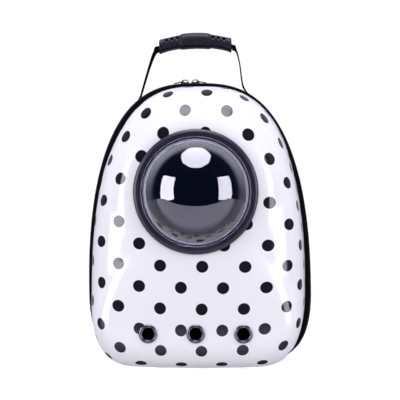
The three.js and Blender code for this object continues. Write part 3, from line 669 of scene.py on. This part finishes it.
def repeat_tree(material):
    """A node tree that sets an element along every path of a mesh, at a pitch, with its X axis along the path
    and its Z axis to the path's out attribute."""
    tree = bpy.data.node_groups.new("elements_along_paths", "GeometryNodeTree")
    for name, kind, way in (("Paths", "Geometry", "INPUT"), ("Element", "Object", "INPUT"),
                            ("Pitch", "Float", "INPUT"), ("Pieces", "Geometry", "OUTPUT")):
        tree.interface.new_socket(name, in_out=way, socket_type=f"NodeSocket{kind}")
    given = add_node(tree, "NodeGroupInput", output=None)
    lines = add_node(tree, "GeometryNodeMeshToCurve", {"Mesh": given["Paths"]})
    spaced = add_node(tree, "GeometryNodeResampleCurve", {
        "Curve": lines, "Length": given["Pitch"]}, mode="LENGTH")
    ahead = add_node(tree, "GeometryNodeInputTangent")
    out = add_node(tree, "GeometryNodeInputNamedAttribute", {"Name": "out"}, data_type="FLOAT_VECTOR")
    along = add_node(tree, "FunctionNodeAlignRotationToVector", {"Vector": ahead}, axis="X")
    turned = add_node(tree, "FunctionNodeAlignRotationToVector", {
        "Rotation": along, "Vector": out}, axis="Z", pivot_axis="X")
    element = add_node(tree, "GeometryNodeObjectInfo", {"Object": given["Element"]}, "Geometry")
    placed = add_node(tree, "GeometryNodeInstanceOnPoints", {
        "Points": spaced, "Instance": element, "Rotation": turned})
    real = add_node(tree, "GeometryNodeRealizeInstances", {"Geometry": placed})
    dressed = add_node(tree, "GeometryNodeSetMaterial", {"Geometry": real, "Material": material})
    add_node(tree, "NodeGroupOutput", {"Pieces": dressed}, None)
    return tree


def repeat_along(name, paths, element, pitch, material):
    """One mesh of elements along paths, each a pair of points and outward directions in millimetres."""
    points, outs, edges = [], [], []
    for line, out in paths:
        start = len(points)
        points.extend(np.asarray(line) * MM)
        outs.extend(np.broadcast_to(out, np.shape(line)))
        edges.extend((start + i, start + i + 1) for i in range(len(line) - 1))
    mesh = bpy.data.meshes.new(name)
    mesh.from_pydata([tuple(p) for p in points], edges, [])
    attribute = mesh.attributes.new("out", "FLOAT_VECTOR", "POINT")
    attribute.data.foreach_set("vector", np.array(outs, float).ravel())
    piece = new_object(name, mesh)
    tree = repeat_tree(material)
    modifier = piece.modifiers.new("Elements", "NODES")
    modifier.node_group = tree
    for item in tree.interface.items_tree:
        if item.item_type == "SOCKET" and item.in_out == "INPUT" and item.name in ("Element", "Pitch"):
            modifier[item.identifier] = element if item.name == "Element" else pitch
    as_plain_mesh(piece)
    drop_object(element)
    bpy.data.node_groups.remove(tree)
    shade(piece.data, 50)
    return piece


def bar_element(name, sections, sides):
    """A small round bar along X: rows of x, half width, half height and rise, in millimetres."""
    ring = turns(sides) * math.tau
    return loft(name, [[(x, wide * math.cos(a), rise + tall * math.sin(a)) for a in ring]
                       for x, wide, tall, rise in sections])


def stitches(name, paths):
    """Lock stitches along paths, each dipping into the cloth at its ends."""
    sizes = bpy.context.scene.backpack_sizes
    half, radius = sizes.stitch_length / MM / 2, sizes.thread_radius / MM
    rows = [(-half, 0.3 * radius, 0.3 * radius, -0.8 * radius), (-0.6 * half, radius, radius, 0),
            (0.6 * half, radius, radius, 0), (half, 0.3 * radius, 0.3 * radius, -0.8 * radius)]
    thread = finish(polyester_thread)
    piece = repeat_along(name, paths, bar_element("one_stitch", rows, 6), sizes.stitch_pitch, thread)
    carried(piece)


# Turned pieces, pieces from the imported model, and straps

def turned_profile(rows, place, axis, count):
    """Loops of a shape turned about an axis from a place: rows give radius and height along it."""
    axis = unit(axis)
    side = unit(np.cross(axis, (1.0, 0, 0) if abs(axis[0]) < 0.9 else (0, 0, 1.0)))
    up = np.cross(axis, side)
    ring = turns(count) * math.tau
    spoke = np.cos(ring)[:, None] * side + np.sin(ring)[:, None] * up
    return np.array([np.asarray(place) + radius * spoke + height * axis for radius, height in rows])


def cap_rows(radius, height, foot, count):
    """The dome's section from its foot up to its top, as radius and height."""
    sphere = (radius ** 2 + height ** 2) / (2 * height)
    angle = math.asin(radius / sphere) * np.linspace(1, 0, count)
    return [(max(sphere * math.sin(a), 1e-4), foot + height - sphere * (1 - math.cos(a))) for a in angle]


def bevelled_node(name, node, width, material):
    """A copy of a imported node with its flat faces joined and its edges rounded."""
    shape = bmesh.new()
    shape.from_mesh(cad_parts[node].data)
    bmesh.ops.remove_doubles(shape, verts=shape.verts, dist=1e-6)
    bmesh.ops.dissolve_limit(shape, angle_limit=math.radians(1), verts=shape.verts, edges=shape.edges)
    mesh = bpy.data.meshes.new(name)
    shape.to_mesh(mesh)
    shape.free()
    piece = new_object(name, mesh, material)
    bevel = piece.modifiers.new("Edges", "BEVEL")
    bevel.width, bevel.segments = width * MM, 2
    bevel.limit_method, bevel.angle_limit = "ANGLE", math.radians(32)
    as_plain_mesh(piece)
    shade(piece.data, 35)
    return piece


def strap_loops(line, across, size_at, per_span, sides=24, power=0.35, twist=((0, 0), (1, 0))):
    """Oval sections of a flat strap along a line, with its middle and its directions across and out. size_at
    gives width and thickness at a share of its length, and twist has rows of that share and the turn about
    the line in degrees."""
    middle, ahead = curve_through(line, per_span)
    share = np.linspace(0, 1, len(middle))
    wide = unit(np.asarray(across) - (ahead @ np.asarray(across))[:, None] * ahead)
    thick = np.cross(ahead, wide)
    angle = np.radians(np.interp(share, *np.transpose(twist)))[:, None]
    wide, thick = (wide * np.cos(angle) + thick * np.sin(angle),
                   thick * np.cos(angle) - wide * np.sin(angle))
    c, s = squared_ring(sides, power)
    width, height = size_at(share)
    loops = (middle[:, None] + (width[:, None] / 2 * c)[..., None] * wide[:, None]
             + (height[:, None] / 2 * s)[..., None] * thick[:, None])
    return loops, middle, wide, thick


def even_size(width, thick):
    return lambda share: (np.full_like(share, width), np.full_like(share, thick))


def sided(line, side):
    return leaned([(side * x, y, z) for x, y, z in line])


def buckle_frame(side):
    """The middle of a buckle's top edge, and its directions down, across and out."""
    before, end = sided(SHOULDER_LINE[-2:], side)
    down = unit(end - before)
    wide = unit(np.array([1.0, 0, 0]) - down[0] * down)
    return end + 2 * GAP * down, down, wide, -np.cross(down, wide)


def puff(piece, held, voxel, cap, pressure=4.0, frames=20):
    """Swells a padded piece with cloth under pressure. held gives how firmly each point stays in place, voxel
    is the remeshed cell and cap the furthest that a point moves."""
    remesh = piece.modifiers.new("Voxels", "REMESH")
    remesh.mode, remesh.voxel_size = "VOXEL", voxel * MM
    as_plain_mesh(piece)
    start = np.array([v.co for v in piece.data.vertices])
    group = piece.vertex_groups.new(name="seams")
    for index, weight in enumerate(held(start / MM)):
        if weight > 0:
            group.add([index], float(weight), "REPLACE")
    settings = piece.modifiers.new("Cloth", "CLOTH").settings
    settings.use_pressure, settings.uniform_pressure_force = True, pressure
    settings.effector_weights.gravity = 0
    settings.vertex_group_mass = "seams"
    settings.quality = 5
    settings.tension_stiffness = settings.compression_stiffness = 30
    settings.bending_stiffness = 2
    scene = bpy.context.scene
    for number in range(1, frames + 1):
        scene.frame_set(number)
    as_plain_mesh(piece)
    scene.frame_set(1)
    moved = np.array([v.co for v in piece.data.vertices]) - start
    far = np.linalg.norm(moved, axis=1, keepdims=True)
    now = start + moved * np.minimum(1, cap * MM / np.maximum(far, 1e-9))
    piece.data.vertices.foreach_set("co", now.astype(np.float32).ravel())
    piece.vertex_groups.clear()
    smoothing = piece.modifiers.new("Smooth", "SUBSURF")
    smoothing.levels = smoothing.render_levels = 1
    as_plain_mesh(piece)


def cloth_loops(stations, wall, count, lean_share=lambda y: 1.0, slack=lambda turn, y: 0.0):
    """Loops of a cloth wall that follows the outline through its stations, out and back."""
    around = turns(count)

    def loop(y, inset, deep):
        x, z = inset_outline(around, inset + deep + slack(around, y), deep)
        return leaned(np.stack([x, np.full_like(x, y), z], -1), lean_share(y))

    return ([loop(y, inset, 0) for y, inset in stations]
            + [loop(y, inset, wall) for y, inset in stations[::-1]])


def seam_line(y, inset, count=400, lean_share=1.0, start=0.0, end=0.997, proud=0.2):
    """A line round the bag at one station, and its outward directions. A whole round ends one stitch short of
    its start."""
    around = np.linspace(start, end, count)
    x, z = inset_outline(around, inset - proud)
    out = outline_normal(around)
    line = leaned(np.stack([x, np.full_like(x, y), z], -1), lean_share)
    return line, np.stack([out[:, 0], np.zeros(count), out[:, 1]], -1)


class BACKPACK_OT_shell(bpy.types.Operator):
    """Build the moulded front shell with its dot print, lining and vent holes"""
    bl_idname = "backpack.shell"
    bl_label = "Moulded shell"

    def execute(self, context):
        around = turns(320)
        # Rows lie closer where the shell bends most
        outer_climb = np.r_[np.linspace(0, 0.4, 12), np.linspace(0.4, 0.74, 34)[1:],
                            np.linspace(0.74, 1, 24)[1:], 1.2, *LAND_BLANK, 1.65, 1.9, 2]
        inner_climb = np.r_[2, np.linspace(1, 0.7, 12), np.linspace(0.7, 0.4, 14)[1:],
                            np.linspace(0.4, 0, 8)[1:]]
        outer = shell_point(around[None], outer_climb[:, None])
        inner = shell_point(around[None], inner_climb[:, None], SHELL.wall)
        uv = np.concatenate([print_map(outer, around), inner[..., [0, 2]]])
        uv[np.searchsorted(outer_climb, LAND_BLANK[1]):len(outer_climb)] = PRINT.blank
        # The coat covers the outside and the rim, and the lining the inside and the hole's edge
        rows = np.r_[np.zeros(len(outer_climb), int), np.ones(len(inner_climb), int)]
        rows[-1] = 0
        rows[len(outer_climb) - 1] = 1
        shell = loft("shell_moulding", np.concatenate([outer, inner]),
                     finish(polyurethane_coated_cloth), finish(lining_cloth),
                     ring=True, row_material=rows, uv=uv, sharp=60)
        bore, reach = VENT.barrel_radius + GAP, 4 * SHELL.wall
        for x in VENT_PLACES.values():
            seat = shell_seat(x, VENT.z)
            drill = loft("drill", turned_profile([(bore, -reach), (bore, reach)], *seat, 40))
            hole = shell.modifiers.new("Vent", "BOOLEAN")
            hole.operation, hole.solver, hole.object = "DIFFERENCE", "EXACT", drill
            as_plain_mesh(shell)
            drop_object(drill)
        merge_points(shell, 3e-6)
        shade(shell.data, 60)
        settle(shell, "shell")
        return {"FINISHED"}


class BACKPACK_OT_window(bpy.types.Operator):
    """Build the clear dome and the ring that clamps it"""
    bl_idname = "backpack.window"
    bl_label = "Domed window"

    def execute(self, context):
        place, axis = (0, LAND_Y, WINDOW.z), (0, -1, 0)
        radius, height, wall, foot = DOME.radius, DOME.height, DOME.wall, DOME.foot
        inside = cap_rows(radius - wall, height - wall, foot, 40)[::-1]
        flange = [(radius - wall, GAP), (DOME.flange_radius, GAP), (DOME.flange_radius, foot)]
        outside = [row for row in cap_rows(radius, height, foot, 44) if row[1] > DOME_FILLET[-1][1] + 1]
        dome = loft("dome_window", turned_profile(inside + flange + DOME_FILLET + outside, place, axis, 128),
                    finish(clear_polycarbonate), sharp=50)
        merge_points(dome, 4e-7)
        settle(dome, "window_dome")
        ring = loft("window_bezel", turned_profile(BEZEL, place, axis, 160), finish(satin_abs),
                    ring=True, sharp=60)
        settle(ring, "window_ring")
        return {"FINISHED"}


class BACKPACK_OT_vents(bpy.types.Operator):
    """Build the three metal eyelets of the vents"""
    bl_idname = "backpack.vents"
    bl_label = "Vent eyelets"

    def execute(self, context):
        hole, barrel, flange = VENT.hole_radius, VENT.barrel_radius, VENT.flange_radius
        lift, top, back = VENT.lift, VENT.lift + VENT.proud, -SHELL.wall - VENT.back
        # Under the flange, over its rolled rim, down a step to the barrel's lip, and through the hole
        rows = [(barrel, lift), (flange - 0.3, lift), (flange, lift + 0.3), (flange - 0.1, lift + 0.9),
                (flange - 0.5, lift + 1.5), (flange - 1.2, top - 0.2), (flange - 1.9, top),
                (flange - 2.5, top - 0.2), (hole + 1.75, top - 0.8), (hole + 1.45, top - 1.35),
                (hole + 1.15, top - 1.35), (hole + 0.9, top - 0.9), (hole + 0.55, top - 0.7),
                (hole + 0.2, top - 0.95), (hole, top - 1.5), (hole, 0), (hole, back), (barrel, back)]
        for name, x in VENT_PLACES.items():
            loops = turned_profile(rows, *shell_seat(x, VENT.z), 56)
            eyelet = loft(f"eyelet_{name}", loops, finish(dark_nickel), ring=True, sharp=60)
            settle(eyelet, f"vent_eyelet_{name}")
        return {"FINISHED"}


class BACKPACK_OT_zip(bpy.types.Operator):
    """Build the zip: tapes, coils, base hinge and seams"""
    bl_idname = "backpack.zip"
    bl_label = "Zip"

    def execute(self, context):
        tape = finish(polyester_tape)
        wall, width, start = ZIP.tape_wall, ZIP.chain_width, ZIP.start_turn

        def front_lean(y):
            return float(smooth(y, TAPE_FRONT[0][0], TAPE_FRONT[-1][0]))

        front = loft("tape_front", cloth_loops(TAPE_FRONT, wall, 320, front_lean), tape, ring=True, sharp=50)
        settle(front, "zip_tape_front")
        rear = loft("tape_rear", cloth_loops(TAPE_REAR, wall, 320), tape, ring=True, sharp=50)
        settle(rear, "zip_tape_rear")

        reach = ZIP.hinge_turn
        flat = [(0, wall), (0, 0), (width, 0), (width, wall)]
        hinge = loft("hinge_strip", self.strip(flat, -reach, reach, 60), tape, sharp=50)
        settle(hinge, "base_hinge")
        core = [(0, 1.2), (0, -0.1), (1.2, -0.1), (5.8, -0.1), (width, -0.1), (width, 1.2)]
        chain = loft("zip_core", self.strip(core, start, 1 - start, 260), tape, sharp=50)
        settle(chain, "zip_chain")

        self.coils(context.scene.backpack_sizes.coil_pitch)
        stitches("zip_seams", [seam_line(y, inset, lean_share=share) for y, inset, share in ZIP_SEAMS])
        return {"FINISHED"}

    @staticmethod
    def coils(pitch):
        """Two rows of coils along the chain, the second half a pitch on."""
        margin, round_length = 0.001, 1250
        half = 0.42 * pitch / MM
        element = bar_element("one_coil", [(share * half, *size) for share, *size in COIL], 8)
        paths = []
        for across, shift in COIL_ROWS:
            start = ZIP.start_turn + margin + shift * pitch / MM / round_length
            end = 1 - ZIP.start_turn - margin
            paths.append(seam_line(ZIP.chain_y + across, 0, 500, 1.0, start, end, 0.1))
        coils = repeat_along("zip_coils", paths, element, pitch, finish(nylon_coil))
        carried(coils)

    @staticmethod
    def strip(section, start, end, count):
        """Loops of a strip between the tapes: rows give the way across it and the inset."""
        loops = []
        for turn in np.linspace(start, end, count + 1):
            ring = []
            for across, inset in section:
                x, z = inset_outline(turn, inset, max(0, inset))
                ring.append(leaned((float(x), ZIP.chain_y + across, float(z))))
            loops.append(ring)
        return loops


class BACKPACK_OT_sliders(bpy.types.Operator):
    """Build the two zip sliders and their pulls"""
    bl_idname = "backpack.sliders"
    bl_label = "Zip sliders"

    def execute(self, context):
        enamel = finish(black_enamel)
        for side in ("left", "right"):
            slider = bevelled_node(f"slider_{side}", f"zip_slider_{side}", 0.3, enamel)
            settle(slider, f"zip_slider_{side}")
            pull = bevelled_node(f"pull_tab_{side}", f"zip_pull_{side}", 0.25, enamel)
            settle(pull, f"zip_pull_{side}", body=f"pull_{side}")
        return {"FINISHED"}


class BACKPACK_OT_soft_back(bpy.types.Operator):
    """Build the cloth gusset and the padded back"""
    bl_idname = "backpack.soft_back"
    bl_label = "Soft back"

    def execute(self, context):
        self.gusset()
        self.pad()
        stitches("gusset_seams", [seam_line(y, inset, lean_share=share) for y, inset, share in GUSSET_SEAMS])
        return {"FINISHED"}

    @staticmethod
    def gusset():
        first, last = GUSSET[0][0], GUSSET[-1][0]

        def slack(turn, y):
            """The gusset hangs in a little between its seams, more in shallow folds, and lies flat below."""
            middle = math.sin(math.pi * (y - first) / (last - first))
            folds = 0.6 + 0.25 * np.sin(23 * math.tau * turn + 1.3) + 0.15 * np.sin(57 * math.tau * turn)
            return middle * folds * (1 - np.exp(-(turn * 9) ** 4) - np.exp(-((1 - turn) * 9) ** 4))

        loops = cloth_loops(refined(GUSSET, 3), GUSSET_WALL, 360, slack=slack)
        gusset = loft("gusset_cloth", loops, finish(oxford_cloth), ring=True, sharp=50)
        settle(gusset, "rear_gusset")

    @staticmethod
    def pad():
        """The padded back: its stations, then smaller rings that close its middle."""
        around = turns(300)
        rows = []
        for y, inset in BACK_PAD:
            x, z = inset_outline(around, inset, max(0, inset - GUSSET[-1][1]))
            rows.append(leaned(np.stack([x, np.full_like(x, y), z], -1)))
        middle, edge = leaned((0, BACK_PAD[-1][0], BACK_MIDDLE_Z)), rows[-1]
        rows += [mix(middle, edge, share) for share in (0.55, 0.3, 0.1)]
        pad = loft("back_pad", rows, finish(spacer_mesh), sharp=60)
        puff(pad, lambda points: 1.0 * (points[:, 1] < BACK_HELD_Y), voxel=5.0, cap=2.0)
        shade(pad.data, 60)
        settle(pad, "back_panel")


def handle_point(x, y, z):
    """A point of the handle above the bag's crown, with the handle's shift and tilt."""
    share = float(smooth(z, BAG.top - HANDLE.ease, HANDLE.crown_z - HANDLE.ease))
    shift = mix(HANDLE.foot_shift, HANDLE.grip_shift, share)
    return leaned((x + shift, y, z + share * HANDLE.tilt * x))


def grip_z(x):
    return HANDLE.crown_z - HANDLE.drop * (x / HANDLE.grip_half) ** 2


def handle_line():
    """The strap's middle line, from its right end over the grip's bore to its left end."""
    halves = []
    for side in (1, -1):
        line = []
        for row_x, row_lift in HANDLE_TAIL:
            x = side * row_x + HANDLE.foot_shift
            z, slope = crown_at(x)
            lift = (GAP + HANDLE.thick / 2 + row_lift) / math.hypot(1, slope)
            line.append(leaned((x - slope * lift, HANDLE.y, z + lift)))
        line += [handle_point(side * x, HANDLE.y, z) for x, z in HANDLE_RISE]
        line += [handle_point(side * x, HANDLE.y, grip_z(x)) for x in HANDLE_BORE]
        halves.append(line)
    return halves[0] + [handle_point(0, HANDLE.y, grip_z(0))] + halves[1][::-1]


class BACKPACK_OT_handle(bpy.types.Operator):
    """Build the webbing handle and its rubber grip"""
    bl_idname = "backpack.handle"
    bl_label = "Carrying handle"

    def execute(self, context):
        size = even_size(HANDLE.width, HANDLE.thick)
        loops, middle = strap_loops(handle_line(), (0, 1, 0), size, 8, twist=HANDLE_TWIST)[:2]
        strap = loft("carry_strap", loops, finish(polypropylene_webbing), sharp=60)
        settle(strap, "handle_strap")
        self.tail_stitches(middle)
        self.grip()
        return {"FINISHED"}

    def grip(self):
        xs_table, tall_table, deep_table = np.transpose(GRIP)
        end, rounding = HANDLE.grip_half, GRIP_END.rounding
        half_xs = np.r_[np.linspace(0, end, 40), np.linspace(end - GRIP_END.rows_from, end, 5),
                        np.add.outer(GRIP_SLOT.at, SLOT_ROWS).ravel()]
        c, s = squared_ring(96, 2 / 3)
        outer, inner = [], []
        for x in np.unique(np.round(np.r_[half_xs, -half_xs], 3)):
            edge = np.clip((abs(x) - (end - rounding)) / rounding, 0, 1)
            cut = GRIP_END.shrink * (1 - math.sqrt(max(0, 1 - edge * edge))) + self.slot_depth(x, s)
            tall, deep = (np.interp(abs(x), xs_table, table) for table in (tall_table, deep_table))
            outer.append(self.section(x, (tall - cut) * s, (deep - cut) * c))
            inner.append(self.section(x, GRIP_BORE.tall * s, GRIP_BORE.deep * c))
        grip = loft("rubber_grip", outer + inner[::-1], finish(thermoplastic_rubber), ring=True, sharp=75)
        settle(grip, "handle_grip")

    @staticmethod
    def section(x, rise, deep):
        """One ring of the grip at x."""
        return [handle_point(x, HANDLE.y + y, grip_z(x)) + (0, 0, z) for z, y in zip(rise, deep)]

    @staticmethod
    def slot_depth(x, height):
        """How deep the finger slots cut in at x, by the height round the section from -1 to 1."""
        depth = np.zeros_like(height)
        for at in GRIP_SLOT.at:
            off = np.maximum(abs(abs(x) - at) / GRIP_SLOT.half,
                             np.abs(height - GRIP_SLOT.middle) / GRIP_SLOT.reach)
            depth = np.maximum(depth, GRIP_SLOT.depth * (1 - smooth(off, GRIP_SLOT.floor, 1.0)))
        return depth

    @staticmethod
    def tail_stitches(middle):
        """A sewn box with a cross on each end of the strap, where it lies on the bag."""
        half, out = HANDLE.seam_half, np.array([0, 0, 1.0])
        lift = HANDLE.thick / 2 + HANDLE.seam_proud
        paths = []
        for tail in (middle[2:17], middle[-17:-2]):
            rise = lift * unit(np.gradient(tail, axis=0)[:, [2, 1, 0]] * (-1, 0, 1))
            top = tail + rise * np.sign(rise[:, 2:3])
            for first, last in ((-half, -half), (half, half), (-half, half), (half, -half)):
                paths.append((top + np.linspace(first, last, len(tail))[:, None] * (0, 1, 0), out))
            for end in (0, -1):
                paths.append((top[end] + np.linspace(-half, half, 8)[:, None] * (0, 1, 0), out))
        stitches("handle_stitches", paths)


class BACKPACK_OT_shoulder_straps(bpy.types.Operator):
    """Build the padded shoulder straps, their buckles and webbing"""
    bl_idname = "backpack.shoulder_straps"
    bl_label = "Shoulder straps"

    def execute(self, context):
        seams = []
        for name, side in (("left", -1), ("right", 1)):
            seams += self.pad(name, side)
            self.fastening(name, side)
        stitches("strap_seams", seams)
        return {"FINISHED"}

    @staticmethod
    def pad_size(share):
        width = mix(SHOULDER.width, SHOULDER.end_width, smooth(share, SHOULDER.narrow_from, 1))
        return width, np.full_like(share, SHOULDER.thick - 2 * GAP)

    def pad(self, name, side):
        """One padded strap, held at its sewn ends as it swells, and the lines of its seams."""
        loops, middle, wide, thick = strap_loops(sided(SHOULDER_LINE, side), (1, 0, 0), self.pad_size, 6,
                                                 sides=32, power=0.55)
        pad = loft(f"shoulder_pad_{name}", loops, finish(spacer_mesh), sharp=60)
        ends = np.array([middle[0], middle[-1]])

        def held(points):
            away = np.min(np.linalg.norm(points[:, None] - ends[None], axis=2), axis=1)
            return np.clip(SHOULDER.held - away / SHOULDER.held_reach, 0, 1)

        puff(pad, held, voxel=3.5, cap=1.0)
        shade(pad.data, 60)
        settle(pad, f"shoulder_strap_{name}")
        aside = self.pad_size(np.linspace(0, 1, len(middle)))[0] / 2 - SHOULDER.seam_inset
        seams = []
        for edge in (-1, 1):
            for face in (-1, 1):
                line = middle + (edge * aside)[:, None] * wide + face * SHOULDER.seam_lift * thick
                seams.append((line[2:-1], face * thick[2:-1]))
        return seams

    @staticmethod
    def fastening(name, side):
        """The buckle at the strap's end, and the webbing that turns round it and runs to the base."""
        buckle = bevelled_node(f"ladder_buckle_{name}", f"strap_buckle_{name}", 0.7, finish(satin_abs))
        settle(buckle, f"strap_buckle_{name}")
        origin, down, across, out = buckle_frame(side)
        turn = [origin + low * down + far * out for low, far in WEBBING_TURN]
        line = np.concatenate([turn, sided(WEBBING_FOOT, side)])
        loops = strap_loops(line, across, even_size(WEBBING.width, WEBBING.thick), 8)[0]
        webbing = loft(f"adjuster_webbing_{name}", loops, finish(polypropylene_webbing), sharp=60)
        settle(webbing, f"strap_webbing_{name}")


class BACKPACK_OT_stage(bpy.types.Operator):
    """Build the pale floor, the studio light and the camera"""
    bl_idname = "backpack.stage"
    bl_label = "Stage"

    def execute(self, context):
        scene = context.scene
        scene.view_settings.view_transform = "Standard"
        lens = bpy.data.cameras.new("camera")
        lens.lens, lens.sensor_width = CAMERA.lens, 36
        lens.clip_start, lens.clip_end = 0.05, 30
        camera = bpy.data.objects.new("camera", lens)
        camera.location = Vector(CAMERA.place) * MM
        camera.rotation_euler = (math.radians(90), 0, math.radians(CAMERA.turn))
        scene.collection.objects.link(camera)
        scene.camera = camera
        self.surround(scene)
        self.floor()
        for name, place, aim, size, power, glow, corners in LIGHT_BOXES:
            self.lamp(name, place, aim, size, power)
            self.card(f"{name}_card", place, aim, size, glow, corners)
        for name, place, power in FILLS:
            self.lamp(name, place, FILL_AIM, FILL_SIZE, power)
        return {"FINISHED"}

    @staticmethod
    def turned(place, aim):
        direction = Vector(aim) - Vector(place)
        return Matrix.Translation(place) @ direction.to_track_quat("-Z", "Y").to_matrix().to_4x4()

    def lamp(self, name, place, aim, size, power):
        """A soft area light that lights surfaces; its mirror image comes from its card."""
        light = bpy.data.lights.new(name, "AREA")
        light.shape, light.size, light.size_y, light.energy = "RECTANGLE", size[0], size[1], power
        lamp = bpy.data.objects.new(name, light)
        lamp.matrix_world = self.turned(place, aim)
        lamp.visible_glossy = False
        lamp.visible_transmission = False
        bpy.context.scene.collection.objects.link(lamp)

    def card(self, name, place, aim, size, glow, corners):
        """A glowing card that shows only in reflections."""
        ring = (turns(corners) + 0.5 / corners) * math.tau
        stretch = 0.5 / math.cos(math.pi / corners)
        points = [(stretch * size[0] * math.cos(a), stretch * size[1] * math.sin(a), 0) for a in ring]
        mesh = bpy.data.meshes.new(name)
        mesh.from_pydata(points, [], [list(range(corners))])
        mesh.transform(self.turned(place, aim))
        material = finish(lambda node, *_: node("Emission", {"Color": GLOW["card"], "Strength": glow}),
                          f"{name}_glow")
        card = new_object(name, mesh, material)
        card.visible_camera = card.visible_diffuse = card.visible_shadow = False

    @staticmethod
    def floor():
        """A white table that ends a little in front of the bag."""
        half, front, back, z = FLOOR.half_width, FLOOR.front, FLOOR.back, FLOOR.z
        mesh = bpy.data.meshes.new("floor")
        mesh.from_pydata([(-half, front, z), (half, front, z), (half, back, z), (-half, back, z)], [],
                         [(0, 1, 2, 3)])

        def white_table(node, sizes, colours):
            """White to the eye, a soft glow on matt surfaces, and in reflections a painted shadow under the
            bag.
            """
            ray = node("LightPath", output=None)
            matt = node("BsdfDiffuse", {"Color": (0.5, 0.5, 0.5, 1)})
            glow = node("Emission", {"Color": GLOW["table"], "Strength": 0.85})
            seen = node("AddShader", {0: matt, 1: glow})
            place = node("TexCoord", output="Object")
            way = node("SeparateXYZ", {"Vector": place}, "Y")
            # Painted shadow: the glow that reflections see fades close in front of the bag
            under_bag_painted_shadow = node("MapRange", {
                "Value": way, "From Min": -0.23, "From Max": -0.15, "To Min": 1.85, "To Max": 0.6})
            mirrored = node("Emission", {"Color": GLOW["mirrored_table"], "Strength": under_bag_painted_shadow})
            shed = node("Emission", {"Color": GLOW["table"], "Strength": 0.56})
            other = node("MixShader", {0: ray["Is Diffuse Ray"], 1: mirrored, 2: shed})
            return node("MixShader", {0: ray["Is Camera Ray"], 1: other, 2: seen})

        new_object("floor", mesh, finish(white_table))

    @staticmethod
    def surround(scene):
        """White behind the bag and through its dome, soft light on matt surfaces, and in reflections a dark
        room with a pale backdrop."""
        world = bpy.data.worlds.new("studio")
        world.use_nodes = True
        node = shader_nodes(world.node_tree)
        ray = node("LightPath", output=None)
        direction = node("TexCoord", output="Generated")
        way = node("SeparateXYZ", {"Vector": direction}, None)
        behind = node("MapRange", {
            "Value": way["Y"], "From Min": 0.06, "From Max": 0.34}, interpolation_type="SMOOTHSTEP")
        above = node("MapRange", {
            "Value": way["Z"], "From Min": 0.0, "From Max": 0.6, "To Min": 0.4, "To Max": 1.45})
        glow = node("Math", {0: behind, 1: above}, operation="MULTIPLY")
        dark, pale, soft, white = (
            node("Background", {"Color": GLOW[name], "Strength": strength})
            for name, strength in (("room", 1.0), ("backdrop", glow), ("soft", 0.53), ("white", 1.05)))
        room = node("AddShader", {0: dark, 1: pale})
        lit = node("MixShader", {0: ray["Is Diffuse Ray"], 1: room, 2: soft})
        # A ray that only went through clear plastic counts one bounce more here than it passed surfaces
        unturned = node("Math", {
            0: ray["Ray Depth"], 1: ray["Transmission Depth"], 2: 1.5}, operation="COMPARE")
        straight = node("Math", {
            0: ray["Is Transmission Ray"], 1: unturned, 2: ray["Is Camera Ray"]}, operation="MULTIPLY_ADD")
        seen = node("MixShader", {0: straight, 1: lit, 2: white})
        node("OutputWorld", {"Surface": seen}, None)
        scene.world = world


class BACKPACK_PT_panel(bpy.types.Panel):
    """Sizes, colours and the steps that build the backpack"""
    bl_idname = "BACKPACK_PT_panel"
    bl_label = "Pet carrier backpack"
    bl_space_type = "VIEW_3D"
    bl_region_type = "UI"
    bl_category = "Backpack"

    def draw(self, context):
        for group in (context.scene.backpack_sizes, context.scene.backpack_colours):
            column = self.layout.column(align=True)
            for name in group.__annotations__:
                column.prop(group, name)
        for step in STEPS:
            self.layout.operator(step.bl_idname)


STEPS = (BACKPACK_OT_stage, BACKPACK_OT_shell, BACKPACK_OT_window, BACKPACK_OT_vents, BACKPACK_OT_zip,
         BACKPACK_OT_sliders, BACKPACK_OT_soft_back, BACKPACK_OT_handle, BACKPACK_OT_shoulder_straps)
CLASSES = (BackpackSizes, BackpackColours, *STEPS, BACKPACK_PT_panel)


def register():
    for item in CLASSES:
        bpy.utils.register_class(item)
    bpy.types.Scene.backpack_sizes = PointerProperty(type=BackpackSizes)
    bpy.types.Scene.backpack_colours = PointerProperty(type=BackpackColours)


def unregister():
    del bpy.types.Scene.backpack_colours
    del bpy.types.Scene.backpack_sizes
    for item in reversed(CLASSES):
        bpy.utils.unregister_class(item)


def main():
    register()
    for step in STEPS:
        group, name = step.bl_idname.split(".")
        getattr(getattr(bpy.ops, group), name)()


if __name__ == "__main__":
    main()
